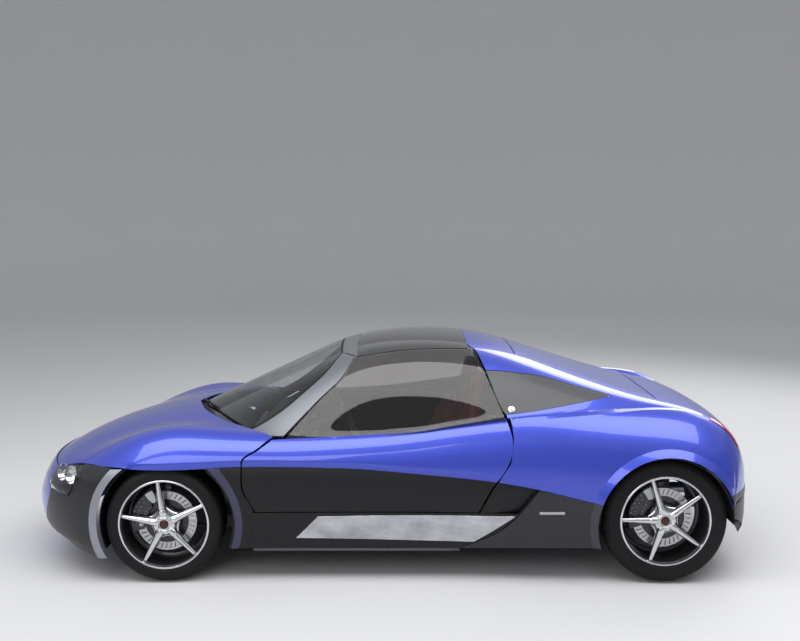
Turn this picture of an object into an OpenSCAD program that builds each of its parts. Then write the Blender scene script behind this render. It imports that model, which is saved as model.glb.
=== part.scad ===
// Mid-engined two-seat concept sports car: fixed roof, two doors, five-spoke wheels.
// Millimetres. The nose points along -X, the driver's side is -Y, +Z is up.
// The origin is on the ground, below the middle of the overall length and width.

/* [Wheels] */
// Distance between the axles
wheelbase = 2510; // [2400:10:2650]
// Front axle, ahead of the middle of the car
front_axle = 1103; // [1050:1:1150]
// Radius of a front tyre
front_tyre_r = 293; // [285:1:300]
// Radius of a rear tyre
rear_tyre_r = 313; // [300:1:318]
// Width of a front tyre
front_tyre_w = 205; // [185:5:225]
// Width of a rear tyre
rear_tyre_w = 225; // [205:5:245]
// Outer face of the front tyres, from the middle of the car
front_face = 836; // [820:2:840]
// Outer face of the rear tyres, from the middle of the car
rear_face = 846; // [830:2:860]
// Radius of the rim's outer flange
rim_r = 228; // [222:1:236]
// Radius of a brake disc
disc_r = 152; // [140:1:165]
// Number of spokes in a wheel
spokes = 5; // [3:1:8]
// Radius of a spoke at its foot
spoke_foot_r = 19; // [16:1:22]
// Radius of a spoke at its tip
spoke_tip_r = 10; // [8:1:14]

/* [Body] */
// Overall length
body_len = 3870; // [3800:10:4000]
// Thickness of a moulded body panel
skin = 6; // [5:1:10]
// Thickness of a whole door
door_t = 60; // [45:1:70]
// Thickness of the glass
glass_t = 6; // [5:1:10]
// Radius of a wheel arch opening
arch_r = 346; // [340:1:360]
// Height of the middle of a wheel arch
arch_up = 303; // [298:1:310]
// Shut line round a panel that opens
gap = 6; // [5:0.5:8]
// Seam between fixed panels
seam = 0.4; // [0.3:0.1:0.8]

/* [Joints] */
// Radius of the threaded hole for a towing eye
tow_r = 9; // [7:0.5:12]
// Door hinge pin, along the car
hinge_at = -550; // [-560:1:-540]
// Door hinge pin, from the middle of the car
hinge_y = 755; // [750:1:760]
// Radius of a hinge pin
pin_r = 8; // [6:1:10]
// Running clearance round a pin
pin_gap = 0.1; // [0.05:0.01:0.1]
// Radius of a wheel hub
hub_r = 30; // [26:1:34]
// Steering pin, inwards from the face of the tyre
king_in = 145; // [140:1:150]

/* [Hidden] */
$fn = 64;

fx = -front_axle;
rx = wheelbase - front_axle;
half_len = body_len / 2;
front_arch = fx + 12;
// Places along the car are drawn between the nose, the two axles and the tail, and follow them
function along(x) = lookup(x, [[-1935, -half_len], [-1103, fx], [1407, rx], [1935, half_len]]);
function placed(line) = [for (q = line) [along(q[0]), q[1]]];

blue = [0.18, 0.25, 0.75];
grey = [0.25, 0.25, 0.28];
black = [0.06, 0.06, 0.07];
silver = [0.72, 0.74, 0.78];
red = [0.50, 0.12, 0.10];

// Front and side of the body, one row for each station. Columns: x on the centre line, x at the side,
// half width at the crest, half width at the widest line, then heights: centre, valley, crest, widest.
front_rows = [
    [-1843, -1250, 760, 850, 520, 520, 520, 515],
    [-1768, -1215, 735, 856, 568, 558, 562, 540],
    [-1620, -1150, 725, 864, 640, 615, 640, 565],
    [-1420, -1080, 725, 872, 706, 680, 722, 580],
    [-1190,  -980, 730, 876, 760, 735, 775, 590],
    [ -960,  -860, 735, 870, 792, 760, 765, 592],
    [ -720,  -700, 740, 858, 790, 762, 745, 590],
    [ -480,  -480, 745, 850, 760, 750, 735, 582],
    [ -200,  -200, 752, 846, 740, 740, 742, 572],
    [  100,   100, 762, 846, 750, 750, 756, 566],
    [  400,   400, 775, 856, 790, 790, 800, 566],
    [  650,   650, 785, 872, 820, 820, 835, 570],
    [  900,   900, 790, 891, 840, 840, 852, 577],
];

// Cabin, tail deck and rear wings, one row for each station. Columns: x on the centre line, x at the side,
// half widths at the roof rail, belt, crest and widest line, then heights: centre, rail, belt, crest, widest.
cabin_rows = [
    [-1060,  -560, 450, 700, 715, 850,  765,  745,  715,  705, 590],
    [ -900,  -480, 470, 705, 722, 850,  838,  802,  716,  708, 590],
    [ -640,  -370, 488, 715, 732, 850,  957,  905,  720,  714, 585],
    [ -400,  -250, 500, 725, 742, 846, 1066, 1010,  727,  720, 575],
    [ -190,  -120, 510, 735, 750, 846, 1152, 1100,  735,  730, 570],
    [   40,    60, 518, 745, 760, 846, 1182, 1140,  750,  748, 567],
    [  320,   320, 525, 757, 772, 853, 1188, 1154,  785,  786, 566],
    [  590,   590, 532, 765, 784, 868, 1152, 1122,  822,  826, 568],
    [  850,   850, 545, 755, 790, 888, 1052, 1040,  835,  848, 575],
    [ 1130,  1130, 545, 690, 755, 905,  958,  952,  850,  868, 585],
    [ 1400,  1390, 530, 605, 695, 910,  872,  872,  822,  896, 590],
    [ 1640,  1520, 520, 590, 680, 900,  838,  830,  798,  866, 570],
    [ 1830,  1560, 515, 590, 670, 880,  752,  742,  722,  764, 520],
    [ 1912,  1540, 515, 600, 690, 865,  610,  606,  600,  616, 470],
    [ 1935,  1510, 520, 620, 715, 855,  495,  494,  492,  490, 440],
    [ 1935,  1500, 530, 630, 725, 850,  412,  412,  412,  412, 412],
];

// How the ends sweep back: half width where a station runs along the car, and how square the plan is
nose_width = 872;
nose_square = 2;
screen_width = 790;
screen_square = 1.5;
tail_width = 930;
tail_square = 2.6;

function mix(a, b, t) = a + (b - a) * t;
function sweep(xc, xs, y, width, square) =
    xs + (xc - xs) * pow(max(0, 1 - pow(min(abs(y) / width, 1), square)), 1 / square);

function front_rib(r) =
    let (wc = r[2], w = r[3], zc = r[4], zv = r[5], zk = r[6], zw = r[7],
         line = [[0, zc], [0.38 * wc, mix(zc, zv, 0.15)], [0.70 * wc, zv], [0.88 * wc, mix(zv, zk, 0.75)],
                 [wc, zk], [mix(wc, w, 0.72), mix(zk, zw, 0.42)], [w, zw], [w - 8, min(350, zw - 60)],
                 [w - 50, 165]])
    [for (q = line) [sweep(along(r[0]), along(r[1]), q[0], nose_width, nose_square), q[0], q[1]]];

function cabin_rib(r) =
    let (wr = r[2], wb = r[3], wc = r[4], w = r[5], zc = r[6], zr = r[7], zb = r[8], zk = r[9], zw = r[10],
         line = [[0, zc], [0.5 * wr, mix(zc, zr, 0.22)], [wr, zr], [mix(wr, wb, 0.62), mix(zr, zb, 0.5)],
                 [wb, zb], [mix(wb, wc, 0.25), mix(zb, zk, 0.25)], [wc, zk],
                 [mix(wc, w, 0.72), mix(zk, zw, 0.42)], [w, zw], [w - 8, min(350, zw - 60)], [w - 50, 165]])
    [for (q = line) r[0] > r[1]
        ? [sweep(along(r[0]), along(r[1]), q[0], tail_width, tail_square), q[0], q[1]]
        : [sweep(along(r[0]), along(r[1]), q[0], screen_width, screen_square), q[0], q[1]]];

front_ribs = [for (r = front_rows) front_rib(r)];
cabin_ribs = [for (r = cabin_rows) cabin_rib(r)];

// Uniform cubic B-spline
function blend(a, b, c, d, t) =
    (pow(1 - t, 3) * a + (3 * pow(t, 3) - 6 * t * t + 4) * b
     + (-3 * pow(t, 3) + 3 * t * t + 3 * t + 1) * c + pow(t, 3) * d) / 6;

// One line of a net of ribs at station u; the ends are met
function line_at(ribs, k, u) =
    let (n = len(ribs) - 1, i = max(0, min(floor(u), n - 1)))
    blend(i == 0 ? 2 * ribs[0][k] - ribs[1][k] : ribs[i - 1][k], ribs[i][k], ribs[i + 1][k],
          i + 2 > n ? 2 * ribs[n][k] - ribs[n - 1][k] : ribs[i + 2][k], u - i);

// Point at station u and line v; negative lines are the other side of the car
function surf(ribs, u, v) =
    v < 0
    ? let (q = surf(ribs, u, -v)) [q[0], -q[1], q[2]]
    : let (m = len(ribs[0]) - 1, j = min(floor(v), m - 1), b = line_at(ribs, j, u), c = line_at(ribs, j + 1, u),
           first = line_at(ribs, 1, u),
           a = j == 0 ? [first[0], -first[1], first[2]] : line_at(ribs, j - 1, u),
           d = j + 2 > m ? 2 * c - b : line_at(ribs, j + 2, u))
      blend(a, b, c, d, v - j);

function unit(v) = v / norm(v);
function normal(ribs, u, v) =
    let (h = 0.02, n = len(ribs) - 1, u0 = max(0, u - h), u1 = min(n, u + h))
    unit(cross(surf(ribs, u1, v) - surf(ribs, u0, v), surf(ribs, u, v + h) - surf(ribs, u, v - h)));

// Station where line v is at x, and line where station u is at height z or half width y
function find_u(ribs, x, v, lo, hi, n) =
    n == 0 ? (lo + hi) / 2
    : let (mid = (lo + hi) / 2)
      surf(ribs, mid, v)[0] < x ? find_u(ribs, x, v, mid, hi, n - 1) : find_u(ribs, x, v, lo, mid, n - 1);
function find_v(ribs, u, axis, want, lo, hi, n) =
    n == 0 ? (lo + hi) / 2
    : let (mid = (lo + hi) / 2, q = surf(ribs, u, mid), below = axis == 2 ? q[2] > want : q[1] < want)
      below ? find_v(ribs, u, axis, want, mid, hi, n - 1) : find_v(ribs, u, axis, want, lo, mid, n - 1);
function settle(ribs, x, axis, want, lo, hi, v, n) =
    let (u = find_u(ribs, x, v, 0, len(ribs) - 1, 14))
    n == 0 ? [u, v] : settle(ribs, x, axis, want, lo, hi, find_v(ribs, u, axis, want, lo, hi, 14), n - 1);
// Station and line of a point given by two coordinates, the second one met on every station tried
function seek(ribs, axis_a, a, axis_b, b, v_lo, v_hi, lo, hi, n) =
    let (mid = (lo + hi) / 2, v = find_v(ribs, mid, axis_b, b, v_lo, v_hi, 12))
    n == 0 ? [mid, v]
    : surf(ribs, mid, v)[axis_a] < a ? seek(ribs, axis_a, a, axis_b, b, v_lo, v_hi, mid, hi, n - 1)
    : seek(ribs, axis_a, a, axis_b, b, v_lo, v_hi, lo, mid, n - 1);
// The [station, line] of a point seen from the side, or from above
function at_side(ribs, x, z, lo, hi) = settle(ribs, x, 2, z, lo, hi, (lo + hi) / 2, 5);
function at_top(ribs, x, y, lo, hi) = settle(ribs, x, 1, y, lo, hi, (lo + hi) / 2, 5);

// Each cell of a net of [station, line] pairs divided in k by m
function refine(net, k, m) =
    let (rows = len(net) - 1, cols = len(net[0]) - 1)
    [for (a = [0:rows * k])
        let (i = min(floor(a / k), rows - 1), s = a / k - i)
        [for (b = [0:cols * m])
            let (j = min(floor(b / m), cols - 1), t = b / m - j)
            mix(mix(net[i][j], net[i + 1][j], s), mix(net[i][j + 1], net[i + 1][j + 1], s), t)]];

function in_holes(i, j, holes) =
    len([for (h = holes) if (i >= h[0] && i < h[1] && j >= h[2] && j < h[3]) 1]) > 0;

// Faces of a thick sheet on a grid; holes are blocks of cells left out
function sheet_faces(rows, cols, holes, o) =
    let (n = (rows + 1) * (cols + 1))
    [for (i = [0:rows - 1], j = [0:cols - 1]) if (!in_holes(i, j, holes))
        let (a = o + i * (cols + 1) + j, b = a + 1, d = a + cols + 1, c = d + 1)
        each concat(
            [[a, b, c], [a, c, d], [a + n, c + n, b + n], [a + n, d + n, c + n]],
            i == 0 || in_holes(i - 1, j, holes) ? [[b, a, a + n], [b, a + n, b + n]] : [],
            j == cols - 1 || in_holes(i, j + 1, holes) ? [[c, b, b + n], [c, b + n, c + n]] : [],
            i == rows - 1 || in_holes(i + 1, j, holes) ? [[d, c, c + n], [d, c + n, d + n]] : [],
            j == 0 || in_holes(i, j - 1, holes) ? [[a, d, d + n], [a, d + n, a + n]] : [])];

function flip(faces, o) = [for (f = faces) [f[2] + o, f[1] + o, f[0] + o]];

// Thick sheets from outer and inner grids of points, the second one of a pair on the other side
module sheet(outer, inner, holes = [], pair = false) {
    rows = len(outer) - 1;
    cols = len(outer[0]) - 1;
    pts = concat([for (r = outer) each r], [for (r = inner) each r]);
    faces = sheet_faces(rows, cols, holes, 0);
    polyhedron(
        pair ? concat(pts, [for (q = pts) [q[0], -q[1], q[2]]]) : pts,
        pair ? concat(faces, flip(faces, len(pts))) : faces,
        convexity = 6);
}

// A panel of a net, from its outer face inwards by t; out lifts it off the surface
module panel(ribs, net, k, m, t, holes = [], pair = false, out = 0) {
    fine = refine(net, k, m);
    outer = [for (r = fine) [for (q = r) surf(ribs, q[0], q[1]) + out * normal(ribs, q[0], q[1])]];
    inner = [for (r = fine) [for (q = r) surf(ribs, q[0], q[1]) + (out - t) * normal(ribs, q[0], q[1])]];
    sheet(outer, inner, [for (h = holes) [h[0] * k, h[1] * k, h[2] * m, h[3] * m]], pair);
}

// A side panel moved inwards and down, as thick as a door
module deep_panel(ribs, net, k, m, t) {
    fine = refine(net, k, m);
    outer = [for (r = fine) [for (q = r) surf(ribs, q[0], q[1])]];
    n = len(outer[0]) - 1;
    inner = [for (r = outer) [for (j = [0:n]) r[j] + t * [0, -0.85, -0.5 * (1 - j / n)]]];
    sheet(outer, inner);
}

function back(list) = [for (i = [len(list) - 1:-1:0]) list[i]];
// The net of a half with its mirror image, from the left edge to the right
function across(net) = [for (r = net) concat([for (j = [len(r) - 1:-1:1]) [r[j][0], -r[j][1]]], r)];

// Prism on an outline seen from the side
module from_side(outline, y0, y1) {
    translate([0, y1, 0]) rotate([90, 0, 0]) linear_extrude(y1 - y0) polygon(outline);
}
module both_sides() {
    children();
    mirror([0, 1, 0]) children();
}

// Outlines seen from the side, x and z
split_z = placed([[-1500, 580], [-1100, 576], [-700, 590], [-300, 583], [-100, 576], [60, 562], [300, 542],
                  [520, 520], [760, 482], [1060, 418], [1080, 414]]);
door_front = placed([[-552, 718], [-627, 669], [-703, 613], [-705, 580], [-700, 480], [-640, 362]]);
door_rear = placed([[607, 832], [639, 719], [632, 647], [601, 576], [538, 485], [470, 362]]);
belt_z = placed([[-575, 712], [-274, 727], [-21, 742], [180, 764], [331, 790], [481, 813], [606, 832]]);
pillar_front = placed([[-640, 716], [-450, 888], [-290, 1030], [-228, 1096]]);
glass_front = placed([[-504, 719], [-332, 888], [-206, 1009], [-158, 1086]]);
glass_top = placed([[-158, 1086], [80, 1121], [289, 1132], [468, 1130]]);
glass_rear = placed([[609, 823], [565, 920], [527, 1003], [468, 1130]]);
quarter_top = placed([[521, 1043], [812, 1008], [977, 962], [1165, 911]]);
quarter_low = placed([[618, 836], [750, 852], [863, 867], [1165, 905]]);
// Front edge of the panel before the rear wheel
slant = placed([[775, 479], [724, 415], [677, 356], [578, 260], [380, 166]]);

// Half length of a wheel arch opening at height z
function arch_x(z) = sqrt(pow(arch_r, 2) - pow(z - arch_up, 2));

// Net with four given edges of [station, line] pairs, filled in between
function fill(front, rear, left, right) =
    let (n = len(left) - 1, m = len(front) - 1)
    [for (i = [0:n]) let (f = i / n)
        [for (j = [0:m]) let (s = j / m)
            mix(front[j], rear[j], f) + mix(left[i], right[i], s)
            - mix(mix(front[0], front[m], s), mix(rear[0], rear[m], s), f)]];

// A lamp's outline. Heights of its upper and lower edges by the share of its width, and half widths of its
// inner and outer ends by the share of its height from the top
lamp_top = [[0, 531], [0.4, 563], [0.78, 578], [1, 578]];
lamp_low = [[0, 432], [0.45, 421], [0.75, 416], [1, 418]];
lamp_in = [[0, 556], [0.5, 528], [1, 522]];
lamp_out = [[0, 780], [0.3, 761], [0.6, 755], [0.85, 750], [1, 735]];
function lamp_yz(s, t) =
    [mix(lookup(t, lamp_in), lookup(t, lamp_out), s), mix(lookup(s, lamp_top), lookup(s, lamp_low), t)];

// The bonnet's [station, line] at half width y and height z, or on a place x of its edge at height z
function at_front(y, z) = seek(front_ribs, 2, z, 1, y, 0, 5.9, 0, 3, 14);
function at_edge(x, z) = seek(front_ribs, 0, x, 2, z, 4.5, 7, 0, 5, 14);

// Bonnet and front wings in one piece
module front_clip() {
    nose_edge = [for (y = [0, 180, 340, 460, 548]) [0, y == 0 ? 0 : find_v(front_ribs, 0, 1, y, 0, 5, 14)]];
    lamp_edge = [for (s = [0, 0.4, 0.78, 1]) let (q = lamp_yz(s, 0)) at_front(q[0], q[1] + seam)];
    shut_u = at_side(front_ribs, along(-705) - gap, 588, 5, 7)[0];
    right = [for (k = [0:6])
        let (u = mix(lamp_edge[3][0], shut_u, k / 6), x = surf(front_ribs, u, 5.8)[0])
        k == 0 ? lamp_edge[3] : [u, find_v(front_ribs, u, 2, lookup(x, split_z), 4.5, 7, 14)]];
    cowl = [for (q = placed([[-1066, 1], [-1039, 150], [-985, 280], [-890, 450], [-760, 600]]))
        at_top(front_ribs, q[0], q[1], 0, 4)];
    shut = [for (q = placed([[-560, 724], [-634, 676], [-711, 616]])) at_side(front_ribs, q[0], q[1], 3.6, 8)];
    rear = concat([[cowl[0][0], 0]], [for (k = [1:4]) cowl[k]], shut, [right[6]]);
    left = [for (k = [0:6]) [rear[0][0] * k / 6, 0]];
    color(blue) panel(front_ribs, across(fill(concat(nose_edge, lamp_edge), rear, left, right)), 2, 2, skin);
}

// Nose below the bonnet: how far it stands back at each height, and the half width of the shield
nose_back = [[120, 165], [160, 98], [200, 31], [240, 10], [280, 2], [320, 0], [360, 5], [400, 18], [440, 35], [470, 53],
             [500, 74], [520, 92]];
shield_y = [[120, 380], [200, 462], [258, 524], [329, 567], [376, 581], [415, 568], [432, 521], [472, 527], [520, 549]];
nose_low = 125;
nose_top = 520;
function nose_pt(y, z, off = 0) =
    [sweep(-half_len + lookup(z, nose_back), along(-1250), y, nose_width, nose_square) + off, y, z];
// Half width at which the nose meets the front wheel arch
function nose_end(z) =
    let (side = along(-1250), k = (front_arch - arch_x(z) - side) / (-half_len + lookup(z, nose_back) - side))
    nose_width * pow(1 - pow(max(0, k), nose_square), 1 / nose_square);

// Heights of the shield's rows; the last nine are the rows of the bumper's edge beside it
shield_rows = [nose_top - seam, 496, 472, 432, 415, 395, 376, 350, 322, 272, 223, 170, nose_low];

module nose_shield() {
    m = 8;
    grid = [for (j = [-m:m]) [for (z = shield_rows) [j / m * lookup(z, shield_y), z]]];
    color(blue) sheet([for (r = grid) [for (q = r) nose_pt(q[0], q[1])]],
                      [for (r = grid) [for (q = r) nose_pt(q[0] * 0.993, q[1], skin)]],
                      [[4, 12, 8, 10]]);
}

// Columns of the bumper from the shield outwards. Each has its half width and height at the top, the half width
// where it leaves the bonnet's surface for the nose's, and its half width at the bottom
bumper_columns = [
    [566, 416,   0, 385],
    [621, 420,   0, 450],
    [679, 415,   0, 520],
    [738, 416,   0, 590],
    [754, 442,   0, 640],
    [758, 487,   0, 680],
    [764, 530, 764, 715],
    [784, 577, 786, 750],
    [812, 578, 812, 780],
    [836, 577, 836, 806],
];
module front_bumper() {
    n = 8;
    k = 3;
    // The places on the bonnet's surface, then those on the nose, from the top of a column down
    function on_bonnet(c) =
        let (top = at_front(c[0], c[1] - seam), foot = [0, find_v(front_ribs, 0, 1, c[2], 0, 5.9, 14)])
        [for (i = [0:k - 1]) mix(top, foot, i / k)];
    function on_nose(c, y, z, steps) = [for (i = [0:steps]) [mix(y, c[3], i / steps), mix(z, nose_low, i / steps)]];
    function out(uv) = [for (q = uv) surf(front_ribs, q[0], q[1])];
    function in(uv) = [for (q = uv) surf(front_ribs, q[0], q[1]) - skin * normal(front_ribs, q[0], q[1])];
    function nose_out(yz) = [for (q = yz) nose_pt(q[0], q[1])];
    function nose_in(yz) = [for (q = yz) nose_pt(q[0] * 0.995, q[1], skin)];
    end_z = [576, 557, 539];
    end_uv = [for (z = end_z) at_edge(front_arch - arch_x(z), z)];
    end_yz = [for (i = [0:n - k]) let (z = mix(nose_top - seam, nose_low, i / (n - k))) [nose_end(z), z]];
    first = [for (i = [0:n]) let (z = shield_rows[i + 4]) [lookup(z, shield_y) + seam, z]];
    rest = [for (j = [1:len(bumper_columns) - 1]) bumper_columns[j]];
    outer = concat([nose_out(first)],
        [for (c = rest) c[2] == 0 ? nose_out(on_nose(c, c[0], c[1], n))
            : concat(out(on_bonnet(c)), nose_out(on_nose(c, c[2], nose_top - seam, n - k)))],
        [concat(out(end_uv), nose_out(end_yz))]);
    inner = concat([nose_in(first)],
        [for (c = rest) c[2] == 0 ? nose_in(on_nose(c, c[0], c[1], n))
            : concat(in(on_bonnet(c)), nose_in(on_nose(c, c[2], nose_top - seam, n - k)))],
        [concat(in(end_uv), nose_in(end_yz))]);
    color(grey) sheet(outer, inner, [], true);
}

// Lamps fill the openings between the bonnet, the shield and the bumper
module headlamps() {
    n = 5;
    m = 8;
    function lamp_pt(q) =
        q[1] < nose_top ? nose_pt(q[0], q[1]) : let (f = at_front(q[0], q[1])) surf(front_ribs, f[0], f[1]);
    function face(s0, s1, t0, t1) = [for (j = [0:m]) [for (i = [0:n])
        lamp_pt(lamp_yz(mix(s0, s1, j / m), mix(t0, t1, i / n)))]];
    outer = face(0.01, 0.994, 0.018, 0.99);
    inner = [for (r = face(0.05, 0.97, 0.11, 0.96)) [for (q = r) q + skin * [0.75, -0.65, 0]]];
    color(silver) sheet(outer, inner, [], true);
}

// Black side behind the front wheel
module front_side_panels() {
    levels = [578, 480, 362, 260];
    rear_x = [along(-705) - gap, along(-702) - gap, along(-640) - 2 * gap, along(-660)];
    low = [find_u(front_ribs, front_arch + arch_x(165), 8, 0, 12, 14), find_u(front_ribs, along(-680), 8, 0, 12, 14)];
    net = [for (s = [0, 0.5, 1])
        concat([for (i = [0:3]) let (x = mix(front_arch + arch_x(levels[i]), rear_x[i], s))
                   at_side(front_ribs, x, i == 0 ? lookup(x, split_z) - 2 * seam : levels[i], 4, 8)],
               [[mix(low[0], low[1], s), 8]])];
    color(black) panel(front_ribs, net, 2, 3, skin, [], true);
}

// Sill below the door, as far back as the slanted edge
sill_top = 356;
module side_sills() {
    x_top = [along(-640) - 2 * gap + seam, along(-300), along(0), along(300), along(520), slant[2][0] - 2];
    x_mid = [along(-660) + seam, along(-300), along(0), along(280), along(460), slant[3][0] - 2];
    x_low = [along(-680) + seam, along(-320), along(-40), along(160), along(290), slant[4][0] - 4];
    net = [for (i = [0:5]) [
        at_side(front_ribs, x_top[i], sill_top, 4, 8),
        at_side(front_ribs, x_mid[i], 260, 4, 8),
        [find_u(front_ribs, x_low[i], 8, 0, 12, 14), 8]]];
    color(black) panel(front_ribs, net, 2, 3, skin, [], true);
}

// Bright plate on the sill: its upper and lower edges
module sill_plates() {
    top = placed([[-332, 338], [0, 343], [330, 345], [656, 345]]);
    low = placed([[-444, 222], [-140, 216], [160, 209], [452, 204]]);
    net = [for (i = [0:3]) [at_side(front_ribs, top[i][0], top[i][1], 4, 8), at_side(front_ribs, low[i][0], low[i][1], 4, 8)]];
    color(silver) panel(front_ribs, net, 3, 3, 4, [], true, 4.5);
}

// Corner between the door and the rear side panel
module rear_corner_panels() {
    front = placed([[569, 512], [549, 485], [480, sill_top + seam]]);
    rear = [slant[0], slant[1], [slant[2][0], sill_top + seam]];
    net = [for (s = [0, 0.5, 1]) [for (i = [0:2])
        let (q = mix(front[i], rear[i], s), z = i == 0 ? lookup(q[0], split_z) - 2 * seam : q[1])
        at_side(front_ribs, q[0], z, 4, 8)]];
    color(black) panel(front_ribs, net, 2, 2, skin, [], true);
}

module rear_side_panels() {
    rear = [for (z = [412, 370, 320, 250, 180]) [rx - arch_x(z), z]];
    net = [for (s = [0, 0.45, 1]) [for (i = [0:4])
        let (q = mix(slant[i] + [0.9, 0], rear[i], s), z = i == 0 ? lookup(q[0], split_z) - 3 * seam : q[1])
        at_side(cabin_ribs, q[0], z, 6, 10)]];
    color(grey) panel(cabin_ribs, net, 2, 2, skin, [], true);
}

// Lid over the engine, and the tip of a quarter panel
lid_front = along(690);
lid_rear = along(1440);
lid_y = [[lid_front, 385], [lid_rear, 460]];
tip_x = along(1165);
function lid_v(x, y) = at_top(cabin_ribs, x, y, 0, 4);

// Stations of the tail with the height of its lower edge, which is the colour line and then the wheel arch
tail_stations = concat(
    [for (x = [lid_front, along(800), along(930)]) [x, lookup(x, split_z)]],
    [[rx - arch_x(414), 414]],
    [for (a = [30, acos((rx - tip_x) / arch_r), 60, 77, acos((rx - lid_rear) / arch_r), 113, 131, 150])
        [rx - arch_r * cos(a), arch_up + arch_r * sin(a)]]);

// Tail, rear wings and the band behind the roof; the lid and the quarter panels are left open
module rear_clip() {
    roof_end = along(436) + seam;
    side = placed([[476, 1131], [521, 1043], [618, 836], [649, 730], [634, 612]]);
    foot = along(570);
    first = [[find_u(cabin_ribs, roof_end, 0, 0, 15, 14), 0], lid_v(roof_end, 385),
             at_side(cabin_ribs, side[0][0], side[0][1], 1, 4), at_side(cabin_ribs, side[1][0], side[1][1], 1, 5),
             at_side(cabin_ribs, side[2][0], side[2][1], 3, 6), at_side(cabin_ribs, side[3][0], side[3][1], 5, 9),
             at_side(cabin_ribs, side[4][0], side[4][1], 6, 9), at_side(cabin_ribs, foot, lookup(foot, split_z), 7, 10)];
    function on_line(x, v) = [find_u(cabin_ribs, x, v, 0, 15, 14), v];
    middle = [for (q = tail_stations)
        let (x = q[0], low = at_side(cabin_ribs, x, q[1], 6, 10), lid = lid_v(x, lookup(x, lid_y)), ahead = x < tip_x + 1,
             top = ahead ? at_side(cabin_ribs, x, lookup(x, quarter_top), 1, 5) : on_line(x, 2.9),
             bottom = ahead ? at_side(cabin_ribs, x, lookup(x, quarter_low), 2, 5.2) : on_line(x, 4.4),
             crest = on_line(x, 6))
        [on_line(x, 0), lid, on_line(x, mix(lid[1], top[1], 0.5)), top, bottom, crest, mix(crest, low, 0.5), low]];
    end = middle[len(middle) - 1];
    tail = [for (k = [1:4]) [for (j = [0:7]) mix(end[j], [15, end[j][1] + (8 - end[7][1]) * j / 7], k / 4)]];
    color(blue) panel(cabin_ribs, across(concat([first], middle, tail)), 2, 2, skin,
                      [[1, 9, 6, 8], [0, 6, 3, 4], [0, 6, 10, 11]]);
}

module engine_lid() {
    net = [for (s = [0, 0.25, 0.5, 0.75, 1])
        let (x = mix(lid_front + gap + 1, lid_rear - gap - 1, s), e = lid_v(x, lookup(x, lid_y) - gap - 1))
        [[find_u(cabin_ribs, x, 0, 0, 15, 14), 0], e]];
    color(blue) panel(cabin_ribs, across(net), 3, 4, 10);
}

module quarter_panels() {
    xs = concat([for (i = [0:4]) tail_stations[i][0]], [tip_x - 5]);
    x_top = concat([along(526)], xs);
    x_low = concat([along(624)], xs);
    net = [for (i = [0:6]) [at_side(cabin_ribs, x_top[i], lookup(x_top[i], quarter_top) - 0.8, 1, 5),
                            at_side(cabin_ribs, x_low[i], lookup(x_low[i], quarter_low) + 0.8, 2, 5.2)]];
    color(grey) panel(cabin_ribs, net, 2, 2, skin, [], true);
}

module rear_bumper() {
    n = 6;
    m = 14;
    low_edge = [[0, 180], [0.62, 195], [0.76, 230], [0.9, 285], [1, 325]];
    tail_back = [[150, 90], [190, 40], [240, 10], [300, 0], [412, 0]];
    side = along(1500);
    widest = 848;
    function tail_pt(y, z, off = 0) =
        [sweep(half_len - lookup(z, tail_back), side, y, tail_width, tail_square) + off, y, z];
    function tail_end(z) =
        let (k = (rx + arch_x(z) - side) / (half_len - lookup(z, tail_back) - side))
        min(widest, tail_width * pow(1 - pow(k, tail_square), 1 / tail_square));
    grid = [for (j = [-m:m]) [for (i = [0:n])
        let (z = mix(412 - seam - max(0, abs(j) - m + 1.5) * 10, lookup(abs(j) / m, low_edge), i / n))
        [j / m * tail_end(z), z]]];
    color(grey) sheet([for (r = back(grid)) [for (q = r) tail_pt(q[0], q[1])]],
                      [for (r = back(grid)) [for (q = r) tail_pt(q[0] * 0.995, q[1], -skin)]],
                      [[10, 18, 4, 6]]);
}

// Lamps lie along the crests of the rear wings
module tail_lamps() {
    net = [for (x = [1655, 1730, 1800]) let (u = find_u(cabin_ribs, along(x), 6, 0, 15, 14)) [[u, 5.92], [u, 6.1]]];
    color(red) panel(cabin_ribs, net, 5, 3, 3, [], true, 3.5);
}

header_x = along(-146);
module roof_panel() {
    net = [for (x = [header_x + seam, along(40), along(240), along(436)])
        let (e = at_side(cabin_ribs, max(x, along(-140)), lookup(x, glass_top) + gap, 1, 4))
        [[find_u(cabin_ribs, x, 0, 0, 15, 14), 0], [find_u(cabin_ribs, x, e[1] / 2, 0, 15, 14), e[1] / 2],
         [find_u(cabin_ribs, x, e[1], 0, 15, 14), e[1]]]];
    color(black) panel(cabin_ribs, across(net), 3, 2, skin);
}

pillar_uv = [[0.05, 3.7], for (q = [pillar_front[1], pillar_front[2], pillar_front[3]]) at_side(cabin_ribs, q[0], q[1], 1, 5)];
screen_x = [for (x = [-1060, -760, -460, -236]) along(x)];

module windscreen() {
    net = [for (i = [0:3]) let (c = i == 0 ? 0.05 : find_u(cabin_ribs, screen_x[i], 0, 0, 15, 14), e = pillar_uv[i])
        [for (s = [0, 0.33, 0.67, 1]) [mix(c, e[0], s), mix(0, e[1] - 0.01, s)]]];
    color(grey) panel(cabin_ribs, across(net), 4, 2, glass_t);
}

module windscreen_pillars() {
    behind = [for (q = glass_front) at_side(cabin_ribs, q[0] - gap - 2, q[1], 1, 5)];
    net = [for (i = [0:3]) [pillar_uv[i], behind[i]]];
    color(silver) panel(cabin_ribs, net, 4, 3, skin, [], true);
}

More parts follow.
